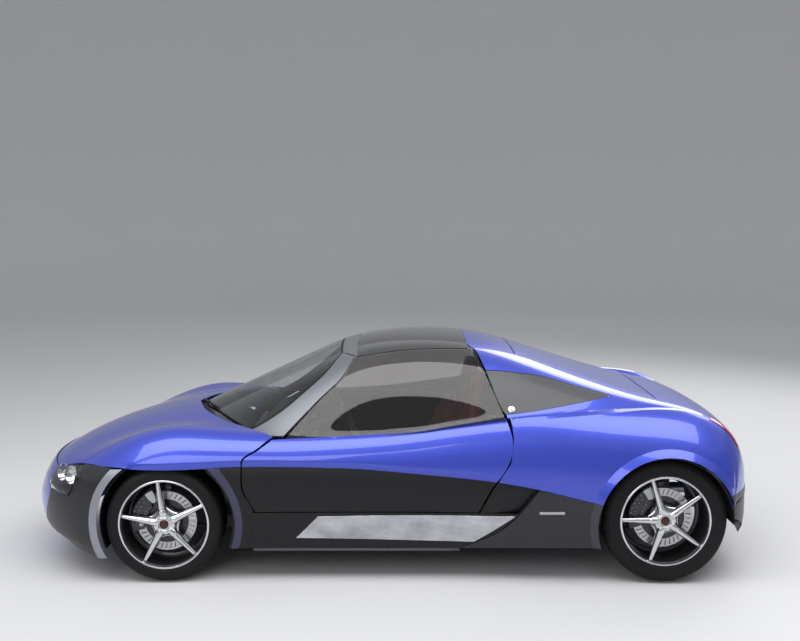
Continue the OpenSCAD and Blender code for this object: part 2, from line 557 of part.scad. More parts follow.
module windscreen_header() {
    e = pillar_uv[3];
    c = find_u(cabin_ribs, screen_x[3], 0, 0, 15, 14);
    g = at_side(cabin_ribs, header_x, 1092, 1, 5);
    d = find_u(cabin_ribs, header_x, 0, 0, 15, 14);
    net = [[for (s = [0, 0.33, 0.67, 0.99]) [mix(c, e[0], s) + 0.002, mix(0, e[1], s)]],
           [for (s = [0, 0.33, 0.67, 0.99]) [mix(d, g[0], s), mix(0, g[1], s)]]];
    color(silver) panel(cabin_ribs, across(net), 2, 3, skin);
}

function edge_net(ribs, front, rear, top, lo, hi, n) =
    [for (i = [0:n]) let (s = i / n)
        [for (k = [0:len(front) - 1])
            let (q = mix(front[k], rear[k], s), z = k == 0 ? lookup(q[0], top) : q[1])
            at_side(ribs, q[0], z, lo, hi)]];

module door() {
    net = edge_net(front_ribs, door_front, door_rear, [for (q = belt_z) [q[0], q[1] - 2]], 3.6, 8, 7);
    deep_panel(front_ribs, net, 2, 3, door_t);
}
module left_door() color(blue) mirror([0, 1, 0]) door();
module right_door() color(blue) door();

module door_glass() {
    front = back(glass_front);
    rear = back(glass_rear);
    n = 6;
    top_x = [for (i = [0:n]) mix(front[0][0], rear[0][0], i / n)];
    low_x = [for (i = [0:n]) mix(front[3][0], rear[3][0], i / n)];
    net = [for (i = [0:n])
        let (top = at_side(cabin_ribs, top_x[i], lookup(top_x[i], glass_top), 1, 4),
             low = at_side(cabin_ribs, low_x[i], lookup(low_x[i], belt_z) - 12, 3, 6))
        i == 0 ? [for (k = [0:3]) at_side(cabin_ribs, front[k][0], k == 3 ? front[3][1] - 12 : front[k][1], 1, 6)]
        : i == n ? [for (k = [0:3]) at_side(cabin_ribs, rear[k][0], k == 3 ? rear[3][1] - 6 : rear[k][1], 1, 6)]
        : [for (k = [0:3]) mix(top, low, k / 3)]];
    panel(cabin_ribs, net, 2, 2, glass_t);
}
module left_door_glass() color(black) mirror([0, 1, 0]) door_glass();
module right_door_glass() color(black) door_glass();

// Hinge arms turn with a door round pins on the tub
hinge_x = along(hinge_at);
hinge_z = [400, 520];
module door_arms() {
    for (z = hinge_z) translate([hinge_x, hinge_y, z]) difference() {
        union() {
            cylinder(r = pin_r + 8, h = 40);
            translate([0, -8, 0]) cube([90, 52, 40]);
        }
        translate([0, 0, -1]) cylinder(r = pin_r + pin_gap, h = 42);
    }
}
module left_door_hinges() color(silver) mirror([0, 1, 0]) door_arms();
module right_door_hinges() color(silver) door_arms();

module door_hinge_pins() {
    color(silver) both_sides() {
        translate([hinge_x, hinge_y, 362]) cylinder(r = pin_r, h = 228);
        translate([hinge_x - 14, 640, 362]) cube([28, hinge_y - 640, 37.6]);
        translate([hinge_x - 14, 640, 560.4]) cube([28, hinge_y - 640, 29.6]);
    }
}

// Shaft of the engine lid and the arms that hang the lid on it
lid_hinge_q = lid_v(along(776), 220);
lid_shaft = [along(776), 0, surf(cabin_ribs, lid_hinge_q[0], lid_hinge_q[1])[2] - 33];
module lid_hinge_shaft() {
    color(silver) translate(lid_shaft) rotate([90, 0, 0]) cylinder(r = 6, h = 660, center = true);
}
module lid_hinge_arms() {
    color(silver) both_sides() translate(lid_shaft) translate([0, 200, 0]) difference() {
        union() {
            rotate([-90, 0, 0]) cylinder(r = 11, h = 40);
            translate([-8, 0, 0]) cube([20, 40, 28]);
        }
        translate([0, -1, 0]) rotate([-90, 0, 0]) cylinder(r = 6 + pin_gap, h = 42);
    }
}

// Section drawn across the car, run along it
module run(x0, x1, section) {
    translate([x0, 0, 0]) rotate([90, 0, 90]) linear_extrude(x1 - x0) polygon(section);
}

// Floor pan with side members, tunnel, bulkheads and the carriers of both axles
floor_z = 130;
front_carrier_y = 330;
rear_carrier_y = 360;
rear_plate_z = 190;
bulkhead_x = along(-748);
module tub() {
    pan = placed([[-780, -480], [-640, -640], [600, -640], [740, -560], [740, 560], [600, 640], [-640, 640], [-780, 480]]);
    sill = [[600, 160], [730, 160], [730, 290], [700, 330], [600, 330]];
    tunnel = [[-90, 160], [90, 160], [75, 300], [50, 320], [-50, 320], [-75, 300]];
    rear_wall = [[-620, 160], [620, 160], [620, 560], [520, 680], [-520, 680], [-620, 560]];
    front_wall = [[-460, 160], [460, 160], [460, 560], [400, 640], [-400, 640], [-460, 560]];
    front_carrier = [[along(-1420), floor_z], [bulkhead_x, floor_z], [bulkhead_x, 270], [fx + 170, 290], [fx + 150, 470],
                     [fx - 150, 470], [fx - 170, 290], [along(-1420), 270]];
    rear_carrier = [[along(700), floor_z], [along(1600), floor_z], [along(1600), rear_plate_z], [rx + 140, rear_plate_z],
                    [rx + 140, 440], [rx + 120, 480], [rx - 120, 480], [rx - 140, 440], [rx - 140, rear_plate_z],
                    [along(700), rear_plate_z]];
    color(grey) difference() {
        union() {
            translate([0, 0, floor_z]) linear_extrude(30) polygon(pan);
            both_sides() run(along(-560), along(680), sill);
            both_sides() run(along(-660), along(380), [[600, 150], [800, 150], [800, 164.6], [600, 164.6]]);
            run(along(-740), along(720), tunnel);
            run(bulkhead_x, bulkhead_x + 28, front_wall);
            both_sides() translate([hinge_x - 25, 600, 160]) cube([50, 40, 540]);
            run(along(690), along(740), rear_wall);
            both_sides() translate([lid_shaft[0] - 8, 310, rear_plate_z]) cube([16, 20, lid_shaft[2] - rear_plate_z]);
            from_side(front_carrier, -front_carrier_y, front_carrier_y);
            from_side(rear_carrier, -rear_carrier_y, rear_carrier_y);
        }
        translate(lid_shaft) rotate([90, 0, 0]) cylinder(r = 6, h = 700, center = true);
        translate([along(-1420) - 1, 0, 240]) rotate([0, 90, 0]) cylinder(r = tow_r, h = 61);
    }
}

// Shells over the wheels, from an axle carrier out to the side of the body
liner_r = arch_r - 8.5;
liner_t = 5.5;
front_liner_low = 24;
rear_liner_low = 0;
liner_wall_r = 225;
module liner(x, y0, y1, low) {
    section = [[liner_wall_r, y0], [liner_r, y0], [liner_r, y1], [liner_r - liner_t, y1],
               [liner_r - liner_t, y0 + liner_t], [liner_wall_r, y0 + liner_t]];
    both_sides() translate([x, 0, arch_up]) rotate([-90, 0, 0]) rotate([0, 0, -180 - low])
        rotate_extrude(angle = 180 + 2 * low) polygon(section);
}
module front_arch_liners() color(black) liner(front_arch, front_carrier_y + 0.3, 815, front_liner_low);
module rear_arch_liners() color(black) liner(rx, rear_carrier_y + 0.3, 865, rear_liner_low);

module engine() {
    color(silver) run(along(760), along(1250), [[-300, rear_plate_z + 0.2], [300, rear_plate_z + 0.2], [300, 470], [220, 670],
                                               [-220, 670], [-300, 470]]);
}

module exhaust() {
    pipe_r = 32;
    pipe_len = half_len - 8 - (rx + 140.3);
    color(silver) both_sides() translate([rx + 140.3, 150, rear_plate_z + pipe_r + 0.3]) rotate([0, 90, 0]) difference() {
        cylinder(r = pipe_r, h = pipe_len);
        translate([0, 0, pipe_len - 50]) cylinder(r = pipe_r - 3, h = 60);
    }
}

dash_x = along(-720);
dash_rear = along(-450);
module dashboard() {
    profile = [[dash_x, 500], [dash_x, 640], [dash_x + 40, 684], [dash_rear - 110, 702], [dash_rear, 696], [dash_rear, 640],
               [dash_rear - 30, 600], [dash_rear - 50, 540], [dash_rear - 110, 500], [dash_x + 90, 480]];
    color(black) from_side(profile, -600, 600);
}

seat_profile = [[-160, 0], [320, 0], [420, 850], [340, 860], [240, 560], [200, 190], [60, 130], [-150, 190], [-190, 160]];
module seats() {
    color(red) both_sides() translate([along(130), 330, 160.2]) from_side(seat_profile, -230, 230);
}

// Column from the dashboard to the wheel, and its tilt
column_foot = [dash_rear + 10.5, -350, 668];
column_tilt = 65;
column_len = 225;
module steering_column() {
    color(black) translate(column_foot) rotate([0, column_tilt, 0]) cylinder(r = 24, h = column_len);
}

module steering_wheel() {
    color(black) translate(column_foot) rotate([0, column_tilt, 0]) translate([0, 0, column_len + 12.2]) {
        rotate_extrude() translate([165, 0]) circle(r = 14);
        cylinder(r = 40, h = 24, center = true);
        for (a = [60, 180, 300]) rotate([0, 90, a]) cylinder(r = 9, h = 165);
    }
}

// A wheel stands on its axis along Y with its outer face at y = 0, looking towards -Y
module tyre_ring(r, w) {
    rotate([-90, 0, 0]) rotate_extrude($fn = 96) polygon([
        [rim_r - 11, 14], [rim_r + 0.3, 11], [rim_r + 0.3, 4], [rim_r + 28, 0], [r - 20, 5],
        [r - 6, 16], [r, 34], [r, w - 34], [r - 6, w - 16], [r - 20, w - 5],
        [rim_r + 28, w], [rim_r + 0.3, w - 4], [rim_r + 0.3, w - 11], [rim_r - 11, w - 14]]);
}

// Rim with tapered spokes in collars, on a star with hollow sides round the hub
module rim_solid(w) {
    star_r = 128;
    hollow_r = 74;
    hollow_at = 146;
    spoke_z = 29;
    rotate([-90, 0, 0]) difference() {
        union() {
            rotate_extrude($fn = 96) polygon([
                [rim_r - 12, 6], [rim_r - 6, 3], [rim_r, 4], [rim_r, 10], [rim_r - 11.3, 13], [rim_r - 11.3, w - 13],
                [rim_r, w - 10], [rim_r, w - 4], [rim_r - 16, w - 6], [rim_r - 22, 70], [rim_r - 18, 40]]);
            translate([0, 0, 16]) cylinder(r = 54, h = 34);
            translate([0, 0, 36]) difference() {
                cylinder(r = star_r, h = 14);
                for (k = [0:spokes - 1]) rotate([0, 0, 90 + (k + 0.5) * 360 / spokes]) translate([hollow_at, 0, -1])
                    cylinder(r = hollow_r, h = 16);
            }
            for (k = [0:spokes - 1]) rotate([0, 0, 90 + k * 360 / spokes]) translate([38, 0, spoke_z]) rotate([0, 90, 0]) {
                cylinder(r = spoke_foot_r + 2, h = 40);
                cylinder(r1 = spoke_foot_r, r2 = spoke_tip_r, h = rim_r - 15 - 38);
            }
        }
        translate([0, 0, 2]) cylinder(r = hub_r, h = 60);
    }
}

module disc_solid() {
    rotate([-90, 0, 0]) difference() {
        union() {
            translate([0, 0, 80]) cylinder(r = disc_r, h = 26);
            translate([0, 0, 50.2]) cylinder(r = 78, h = 40);
        }
        translate([0, 0, 40]) cylinder(r = hub_r, h = 100);
    }
}

// Bearing housing, stub axle, steering pins and caliper of a wheel
module upright_solid() {
    rotate([-90, 0, 0]) {
        translate([0, 0, 20]) cylinder(r = hub_r - pin_gap, h = 120);
        translate([0, 0, 112]) cylinder(r = 60, h = 60);
    }
    translate([-35, 122, -120]) cube([70, 45, 240]);
    translate([0, king_in, 120]) cylinder(r = pin_r, h = 50);
    translate([0, king_in, -170]) cylinder(r = pin_r, h = 50);
    translate([-175, 111, -60]) cube([80, 19, 120]);
    translate([-175, 62, -60]) cube([80, 13, 120]);
    translate([-175, 62, -60]) cube([16, 68, 120]);
    translate([-120, 125, -30]) cube([100, 25, 60]);
}

module front_wheel(left) {
    translate([fx, left ? -front_face : front_face, front_tyre_r]) rotate([0, 0, left ? 0 : 180]) children();
}
module rear_wheel(left) {
    translate([rx, left ? -rear_face : rear_face, rear_tyre_r]) rotate([0, 0, left ? 0 : 180]) children();
}

module front_left_tyre() color(black) front_wheel(true) tyre_ring(front_tyre_r, front_tyre_w);
module front_right_tyre() color(black) front_wheel(false) tyre_ring(front_tyre_r, front_tyre_w);
module rear_left_tyre() color(black) rear_wheel(true) tyre_ring(rear_tyre_r, rear_tyre_w);
module rear_right_tyre() color(black) rear_wheel(false) tyre_ring(rear_tyre_r, rear_tyre_w);
module front_left_rim() color(silver) front_wheel(true) rim_solid(front_tyre_w);
module front_right_rim() color(silver) front_wheel(false) rim_solid(front_tyre_w);
module rear_left_rim() color(silver) rear_wheel(true) rim_solid(rear_tyre_w);
module rear_right_rim() color(silver) rear_wheel(false) rim_solid(rear_tyre_w);
module front_left_disc() color(silver) front_wheel(true) disc_solid();
module front_right_disc() color(silver) front_wheel(false) disc_solid();
module rear_left_disc() color(silver) rear_wheel(true) disc_solid();
module rear_right_disc() color(silver) rear_wheel(false) disc_solid();
module front_left_knuckle() color(grey) front_wheel(true) upright_solid();
module front_right_knuckle() color(grey) front_wheel(false) upright_solid();
module rear_uprights() color(grey) {
    rear_wheel(true) upright_solid();
    rear_wheel(false) upright_solid();
}

// Round bar between two points
module bar(a, b, r) {
    d = b - a;
    translate(a) rotate([0, acos(d[2] / norm(d)), atan2(d[1], d[0])]) cylinder(r = r, h = norm(d));
}

// Upper and lower arms, from the carrier to the pins of an upright
module arms(x, pin_y, carrier_y, axle_z) {
    both_sides() for (z = [-160, 145]) translate([x, pin_y, axle_z + z]) difference() {
        union() {
            cylinder(r = 20, h = 16);
            for (s = [-1, 1]) bar([0, 0, 8], [s * 100, carrier_y + 3 - pin_y, 8], 7);
            translate([-112, carrier_y + 0.3 - pin_y, 0]) cube([224, 14, 16]);
        }
        translate([0, 0, -1]) cylinder(r = pin_r + pin_gap, h = 20);
    }
}
module front_wishbones() color(grey) arms(fx, front_face - king_in, front_carrier_y, front_tyre_r);
module rear_wishbones() color(grey) arms(rx, rear_face - king_in, rear_carrier_y, rear_tyre_r);

// Fuel cap on the left quarter panel
module fuel_cap() {
    q = at_side(cabin_ribs, along(642), 862, 2, 5.2);
    n = normal(cabin_ribs, q[0], -q[1]);
    color(silver) translate(surf(cabin_ribs, q[0], -q[1]) + 0.7 * n)
        rotate([0, acos(n[2]), atan2(n[1], n[0])]) cylinder(r = 17, h = 7);
}

front_clip();
nose_shield();
front_bumper();
headlamps();
front_side_panels();
side_sills();
sill_plates();
rear_corner_panels();
rear_clip();
engine_lid();
quarter_panels();
rear_side_panels();
rear_bumper();
tail_lamps();
roof_panel();
windscreen();
windscreen_pillars();
windscreen_header();
left_door();
right_door();
left_door_glass();
right_door_glass();
left_door_hinges();
right_door_hinges();
door_hinge_pins();
lid_hinge_arms();
lid_hinge_shaft();
tub();
engine();
exhaust();
dashboard();
seats();
steering_column();
steering_wheel();
front_wishbones();
rear_wishbones();
front_left_knuckle();
front_right_knuckle();
rear_uprights();
front_left_tyre();
front_right_tyre();
rear_left_tyre();
rear_right_tyre();
front_left_rim();
front_right_rim();
rear_left_rim();
rear_right_rim();
front_left_disc();
front_right_disc();
rear_left_disc();
rear_right_disc();
fuel_cap();
front_arch_liners();
rear_arch_liners();
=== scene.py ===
import math

import bmesh
import bpy
import numpy as np
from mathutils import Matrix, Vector
from mathutils.bvhtree import BVHTree


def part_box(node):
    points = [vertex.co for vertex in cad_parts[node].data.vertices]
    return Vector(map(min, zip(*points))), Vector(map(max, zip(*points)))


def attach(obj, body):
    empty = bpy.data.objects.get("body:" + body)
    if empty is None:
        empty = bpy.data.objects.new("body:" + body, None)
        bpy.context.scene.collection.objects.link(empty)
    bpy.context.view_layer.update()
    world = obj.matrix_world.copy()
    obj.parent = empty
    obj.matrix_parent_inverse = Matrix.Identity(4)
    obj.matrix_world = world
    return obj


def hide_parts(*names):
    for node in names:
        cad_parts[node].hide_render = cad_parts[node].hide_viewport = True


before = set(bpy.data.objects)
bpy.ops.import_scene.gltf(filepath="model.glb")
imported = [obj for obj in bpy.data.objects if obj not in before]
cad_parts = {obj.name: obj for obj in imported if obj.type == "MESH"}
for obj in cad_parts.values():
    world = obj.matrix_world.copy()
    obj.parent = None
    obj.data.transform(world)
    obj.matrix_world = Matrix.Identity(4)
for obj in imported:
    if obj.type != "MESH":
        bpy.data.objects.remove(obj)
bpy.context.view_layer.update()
print("frame loaded:", len(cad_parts), "nodes")

# body surface, the same rule as the part's own panels, in millimetres

body = {
    # x centre, x side, half widths: crest, widest; heights: centre, valley, crest, widest
    "frontRows": [
        [-1843, -1250, 760, 850, 520, 520, 520, 515],
        [-1768, -1215, 735, 856, 568, 558, 562, 540],
        [-1620, -1150, 725, 864, 640, 615, 640, 565],
        [-1420, -1080, 725, 872, 706, 680, 722, 580],
        [-1190, -980, 730, 876, 760, 735, 775, 590],
        [-960, -860, 735, 870, 792, 760, 765, 592],
        [-720, -700, 740, 858, 790, 762, 745, 590],
        [-480, -480, 745, 850, 760, 750, 735, 582],
        [-200, -200, 752, 846, 740, 740, 742, 572],
        [100, 100, 762, 846, 750, 750, 756, 566],
        [400, 400, 775, 856, 790, 790, 800, 566],
        [650, 650, 785, 872, 820, 820, 835, 570],
        [900, 900, 790, 891, 840, 840, 852, 577],
    ],
    # x centre, x side, half widths: rail, belt, crest, widest; heights: centre, rail, belt, crest, widest
    "cabinRows": [
        [-1060, -560, 450, 700, 715, 850, 765, 745, 715, 705, 590],
        [-900, -480, 470, 705, 722, 850, 838, 802, 716, 708, 590],
        [-640, -370, 488, 715, 732, 850, 957, 905, 720, 714, 585],
        [-400, -250, 500, 725, 742, 846, 1066, 1010, 727, 720, 575],
        [-190, -120, 510, 735, 750, 846, 1152, 1100, 735, 730, 570],
        [40, 60, 518, 745, 760, 846, 1182, 1140, 750, 748, 567],
        [320, 320, 525, 757, 772, 853, 1188, 1154, 785, 786, 566],
        [590, 590, 532, 765, 784, 868, 1152, 1122, 822, 826, 568],
        [850, 850, 545, 755, 790, 888, 1052, 1040, 835, 848, 575],
        [1130, 1130, 545, 690, 755, 905, 958, 952, 850, 868, 585],
        [1400, 1390, 530, 605, 695, 910, 872, 872, 822, 896, 590],
        [1640, 1520, 520, 590, 680, 900, 838, 830, 798, 866, 570],
        [1830, 1560, 515, 590, 670, 880, 752, 742, 722, 764, 520],
        [1912, 1540, 515, 600, 690, 865, 610, 606, 600, 616, 470],
        [1935, 1510, 520, 620, 715, 855, 495, 494, 492, 490, 440],
        [1935, 1500, 530, 630, 725, 850, 412, 412, 412, 412, 412],
    ],
    "nose": (872, 2.0), "screen": (790, 1.5), "tail": (930, 2.6),  # half width and squareness of each sweep
    "skin": 6.0, "gap": 6.0, "seam": 0.8, "doorDepth": 60.0, "glass": 6.0,
}


def mix(a, b, t):
    return a + (b - a) * t


def sweep(xc, xs, y, width, square):
    inside = np.maximum(0, 1 - np.minimum(np.abs(y) / width, 1) ** square)
    return xs + (xc - xs) * inside ** (1 / square)


def frontRib(r):
    xc, xs, wc, w, zc, zv, zk, zw = r
    line = [(0, zc), (0.38 * wc, mix(zc, zv, 0.15)), (0.70 * wc, zv), (0.88 * wc, mix(zv, zk, 0.75)),
            (wc, zk), (mix(wc, w, 0.72), mix(zk, zw, 0.42)), (w, zw), (w - 8, min(350, zw - 60)),
            (w - 50, 165)]
    return [[sweep(xc, xs, y, *body["nose"]), y, z] for y, z in line]


def cabinRib(r):
    xc, xs, wr, wb, wc, w, zc, zr, zb, zk, zw = r
    line = [(0, zc), (0.5 * wr, mix(zc, zr, 0.22)), (wr, zr), (mix(wr, wb, 0.62), mix(zr, zb, 0.5)), (wb, zb),
            (mix(wb, wc, 0.25), mix(zb, zk, 0.25)), (wc, zk), (mix(wc, w, 0.72), mix(zk, zw, 0.42)), (w, zw),
            (w - 8, min(350, zw - 60)), (w - 50, 165)]
    return [[sweep(xc, xs, y, *body["tail" if xc > xs else "screen"]), y, z] for y, z in line]


def splineNet(ribs):  # control net with one more row and line past each end
    r = np.array(ribs, float)
    r = np.concatenate([2 * r[:1] - r[1:2], r, 2 * r[-1:] - r[-2:-1]], 0)
    return np.concatenate([r[:, 1:2] * [1, -1, 1], r, 2 * r[:, -1:] - r[:, -2:-1]], 1)


frontNet = splineNet([frontRib(r) for r in body["frontRows"]])
cabinNet = splineNet([cabinRib(r) for r in body["cabinRows"]])


def cubic(t):
    return np.stack([(1 - t) ** 3, 3 * t**3 - 6 * t**2 + 4, -3 * t**3 + 3 * t**2 + 3 * t + 1, t**3], -1) / 6


def surf(net, u, v):
    u, v = np.broadcast_arrays(np.asarray(u, float), np.asarray(v, float))
    side = np.where(v < 0, -1.0, 1.0)
    v = np.abs(v)
    i = np.clip(np.floor(u).astype(int), 0, net.shape[0] - 4)
    j = np.clip(np.floor(v).astype(int), 0, net.shape[1] - 4)
    wu, wv = cubic(u - i), cubic(v - j)
    out = np.zeros(u.shape + (3,))
    for a in range(4):
        for b in range(4):
            out += (wu[..., a] * wv[..., b])[..., None] * net[i + a, j + b]
    out[..., 1] *= side
    return out


def normals(net, u, v, h=0.02):
    top = net.shape[0] - 3
    du = surf(net, np.minimum(u + h, top), v) - surf(net, np.maximum(u - h, 0), v)
    n = np.cross(du, surf(net, u, v + h) - surf(net, u, v - h))
    return n / np.linalg.norm(n, axis=-1, keepdims=True)


def findU(net, x, v):
    x, v = np.broadcast_arrays(np.asarray(x, float), np.asarray(v, float))
    lo, hi = np.zeros(x.shape), np.full(x.shape, net.shape[0] - 3.0)
    for _ in range(20):
        mid = (lo + hi) / 2
        below = surf(net, mid, v)[..., 0] < x
        lo, hi = np.where(below, mid, lo), np.where(below, hi, mid)
    return (lo + hi) / 2


def findV(net, u, axis, want, low, high):
    u, want = np.broadcast_arrays(np.asarray(u, float), np.asarray(want, float))
    lo, hi = np.full(u.shape, float(low)), np.full(u.shape, float(high))
    for _ in range(20):
        mid = (lo + hi) / 2
        q = surf(net, u, mid)[..., axis]
        below = q > want if axis == 2 else q < want
        lo, hi = np.where(below, mid, lo), np.where(below, hi, mid)
    return (lo + hi) / 2


def stationsAt(net, x, v):  # points of given lines at given places along the car
    return np.stack([findU(net, x, v), v], -1)


def settle(net, x, axis, want, low, high):  # station and line of points seen from the side or from above
    v = np.full(np.shape(x), (low + high) / 2)
    for _ in range(6):
        v = findV(net, findU(net, x, v), axis, want, low, high)
    return stationsAt(net, x, v)


def atSide(net, x, z, low, high):
    return settle(net, np.asarray(x, float), 2, np.asarray(z, float), low, high)


def atTop(net, x, y, low, high):
    return settle(net, np.asarray(x, float), 1, np.asarray(y, float), low, high)


def lineAt(points, x):  # height of a line of straight runs at x
    return np.interp(x, *np.array(points, float).T)


def smoothCurve(points, count):  # even samples of a smooth curve through points
    p = np.asarray(points, float)
    d = np.concatenate([[0], np.cumsum(np.linalg.norm(np.diff(p, axis=0), axis=1))])
    slope = np.gradient(p, d, axis=0)
    t = np.linspace(0, d[-1], count)
    k = np.clip(np.searchsorted(d, t, "right") - 1, 0, len(d) - 2)
    h = (d[k + 1] - d[k])[:, None]
    s = ((t - d[k])[:, None]) / h
    return ((2 * s**3 - 3 * s**2 + 1) * p[k] + (s**3 - 2 * s**2 + s) * h * slope[k]
            + (-2 * s**3 + 3 * s**2) * p[k + 1] + (s**3 - s**2) * h * slope[k + 1])


def smoothAt(points, x):  # height of that curve at x
    c = smoothCurve(points, 400)
    return np.interp(x, c[:, 0], c[:, 1])


def sideCurve(net, points, low, high, count):
    c = smoothCurve(points, count)
    return atSide(net, c[:, 0], c[:, 1], low, high)


def coons(front, rear, left, right):  # net between four edges
    n, m = len(left), len(front)
    f = np.linspace(0, 1, n)[:, None, None]
    s = np.linspace(0, 1, m)[None, :, None]
    return (mix(front[None], rear[None], f) + mix(left[:, None], right[:, None], s)
            - mix(mix(front[0], front[-1], s), mix(rear[0], rear[-1], s), f))


def straight(a, b, count):
    return mix(np.asarray(a, float)[None], np.asarray(b, float)[None], np.linspace(0, 1, count)[:, None])


def columnsBetween(a, b, count):  # net from one edge to another
    return mix(a[:, None], b[:, None], np.linspace(0, 1, count)[None, :, None])


def rowsBetween(a, b, first, last, count):
    return mix(a[None], b[None], np.linspace(first, last, count)[:, None, None])


def fan(net, x, edge, count):  # net from the centre line out to an edge line
    return np.stack([stationsAt(net, x, edge * k / count) for k in range(count + 1)], 1)


def across(net):  # both halves of a net that starts on the centre line
    other = net[:, :0:-1] * [1, -1]
    return np.concatenate([other, net], 1)


def seek(net, axisA, a, axisB, b, lowV, highV, lowU, highU):  # where one coordinate is a and another is b
    a, b = np.broadcast_arrays(np.asarray(a, float), np.asarray(b, float))
    lo, hi = np.full(a.shape, float(lowU)), np.full(a.shape, float(highU))
    for _ in range(20):
        mid = (lo + hi) / 2
        v = findV(net, mid, axisB, b, lowV, highV)
        below = surf(net, mid, v)[..., axisA] < a
        lo, hi = np.where(below, mid, lo), np.where(below, hi, mid)
    return np.stack([(lo + hi) / 2, v], -1)


def outward(p):  # unit normals of a grid of points, away from the middle of the car
    n = np.cross(np.gradient(p, axis=0), np.gradient(p, axis=1))
    n /= np.maximum(np.linalg.norm(n, axis=-1, keepdims=True), 1e-9)
    middle = np.array([p[..., 0].mean() * 0.6, 0, 420])
    return n if (n * (p - middle)).sum() > 0 else -n


def resample(net, places):  # columns of a net at other places across it, from 0 to 1
    at = np.asarray(places) * (net.shape[1] - 1)
    k = np.clip(at.astype(int), 0, net.shape[1] - 2)
    return mix(net[:, k], net[:, k + 1], (at - k)[None, :, None])


# outlines seen from the side, x and height
lines = {
    "split": [[-1500, 580], [-1100, 576], [-700, 590], [-300, 583], [-100, 576], [60, 562], [300, 542],
              [520, 520], [760, 482], [1060, 418], [1120, 405]],
    "doorFront": [[-552, 718], [-627, 669], [-703, 613], [-705, 590]],
    "doorFrontLow": [[-705, 590], [-700, 480], [-640, 362]],
    "doorRear": [[607, 832], [639, 719], [632, 647], [601, 576], [559, 515]],
    "doorRearLow": [[559, 515], [538, 485], [470, 362]],
    "belt": [[-575, 712], [-274, 727], [-21, 742], [180, 764], [331, 790], [481, 813], [606, 832]],
    "pillarFront": [[-450, 888], [-290, 1030], [-228, 1096]],
    "glassFront": [[-504, 719], [-332, 888], [-206, 1009], [-158, 1086]],
    "glassTop": [[-158, 1086], [80, 1121], [289, 1132], [468, 1130]],
    "glassRear": [[609, 823], [565, 920], [527, 1003], [468, 1130]],
    "quarterTop": [[521, 1043], [812, 1008], [977, 962], [1165, 911]],
    "quarterLow": [[618, 836], [750, 852], [863, 867], [1165, 905]],
    "slant": [[775, 479], [724, 415], [677, 356], [578, 260], [460, 200], [380, 166]],
}
splitLine = smoothCurve(lines["split"], 400)
# rear axle, middle of the front arch, height of the arches, radius of an opening and of its lip
wheels = {"rearX": 1407, "archX": -1091, "archZ": 303, "arch": 346, "lip": 384}


def splitAt(x):
    return np.interp(x, splitLine[:, 0], splitLine[:, 1])


def archHalf(z, radius):
    return np.sqrt(np.maximum(0, radius**2 - (z - wheels["archZ"]) ** 2))


under = {"blue": 11, "round": 34, "dark": 13, "fade": 70, "front": -1345, "frontRun": 80, "rear": 1000,
         "rearRun": 250}


def tuck(p):  # the blue turns under above the colour line, and the dark part below starts further in
    x, z = p[..., 0], p[..., 2]
    s = splitAt(x)
    above = under["blue"] * np.clip((s + under["round"] - z) / under["round"], 0, 1) ** 1.3
    depth = np.where(z > s, above, under["dark"] * np.exp(-np.maximum(0, s - z) / under["fade"]))
    depth *= np.clip((x - under["front"]) / under["frontRun"], 0, 1) * (np.abs(p[..., 1]) > 600)
    depth *= np.clip((under["rear"] - x) / under["rearRun"], 0, 1)
    return p - depth[..., None] * np.sign(p[..., 1:2]) * [0, 1, 0]


# materials


def newMaterial(name):
    mat = bpy.data.materials.new(name)
    mat.use_nodes = True
    shader = mat.node_tree.nodes["Principled BSDF"]
    return mat, mat.node_tree.nodes, mat.node_tree.links, shader


def mapped(nodes, links, scale=(1, 1, 1), turn=(0, 0, 0)):
    where = nodes.new("ShaderNodeTexCoord")
    place = nodes.new("ShaderNodeMapping")
    place.inputs["Scale"].default_value = scale
    place.inputs["Rotation"].default_value = turn
    links.new(where.outputs["Object"], place.inputs["Vector"])
    return place.outputs["Vector"]


def noiseAt(nodes, links, vector, scale, detail=4.0, rough=0.55):
    noise = nodes.new("ShaderNodeTexNoise")
    noise.inputs["Scale"].default_value = scale
    noise.inputs["Detail"].default_value = detail
    noise.inputs["Roughness"].default_value = rough
    links.new(vector, noise.inputs["Vector"])
    return noise.outputs["Fac"]


def ramp(nodes, links, value, stops):
    node = nodes.new("ShaderNodeValToRGB")
    while len(node.color_ramp.elements) < len(stops):
        node.color_ramp.elements.new(0.5)
    for element, (where, colour) in zip(node.color_ramp.elements, stops):
        element.position = where
        element.color = (*colour, 1) if len(colour) == 3 else colour
    links.new(value, node.inputs["Fac"])
    return node.outputs["Color"]


def levels(nodes, links, value, low, high):
    node = nodes.new("ShaderNodeMapRange")
    node.inputs["To Min"].default_value = low
    node.inputs["To Max"].default_value = high
    links.new(value, node.inputs["Value"])
    return node.outputs["Result"]


def bumped(nodes, links, shader, height, strength, distance):
    bump = nodes.new("ShaderNodeBump")
    bump.inputs["Strength"].default_value = strength
    bump.inputs["Distance"].default_value = distance
    links.new(height, bump.inputs["Height"])
    links.new(bump.outputs["Normal"], shader.inputs["Normal"])


def paint(name, light, dark, metallic, rough, coat=1.0, flake=2600, peel=90):
    mat, nodes, links, shader = newMaterial(name)
    vector = mapped(nodes, links)
    flakes = noiseAt(nodes, links, vector, flake, 2.0)
    links.new(ramp(nodes, links, flakes, [(0.36, dark), (0.64, light)]), shader.inputs["Base Color"])
    cloud = noiseAt(nodes, links, vector, 3.0)
    links.new(levels(nodes, links, cloud, rough * 0.9, rough * 1.12), shader.inputs["Roughness"])
    shader.inputs["Metallic"].default_value = metallic
    shader.inputs["Coat Weight"].default_value = coat
    shader.inputs["Coat Roughness"].default_value = 0.04
    bumped(nodes, links, shader, noiseAt(nodes, links, vector, peel, 2.0), 0.04, 0.0004)
    return mat


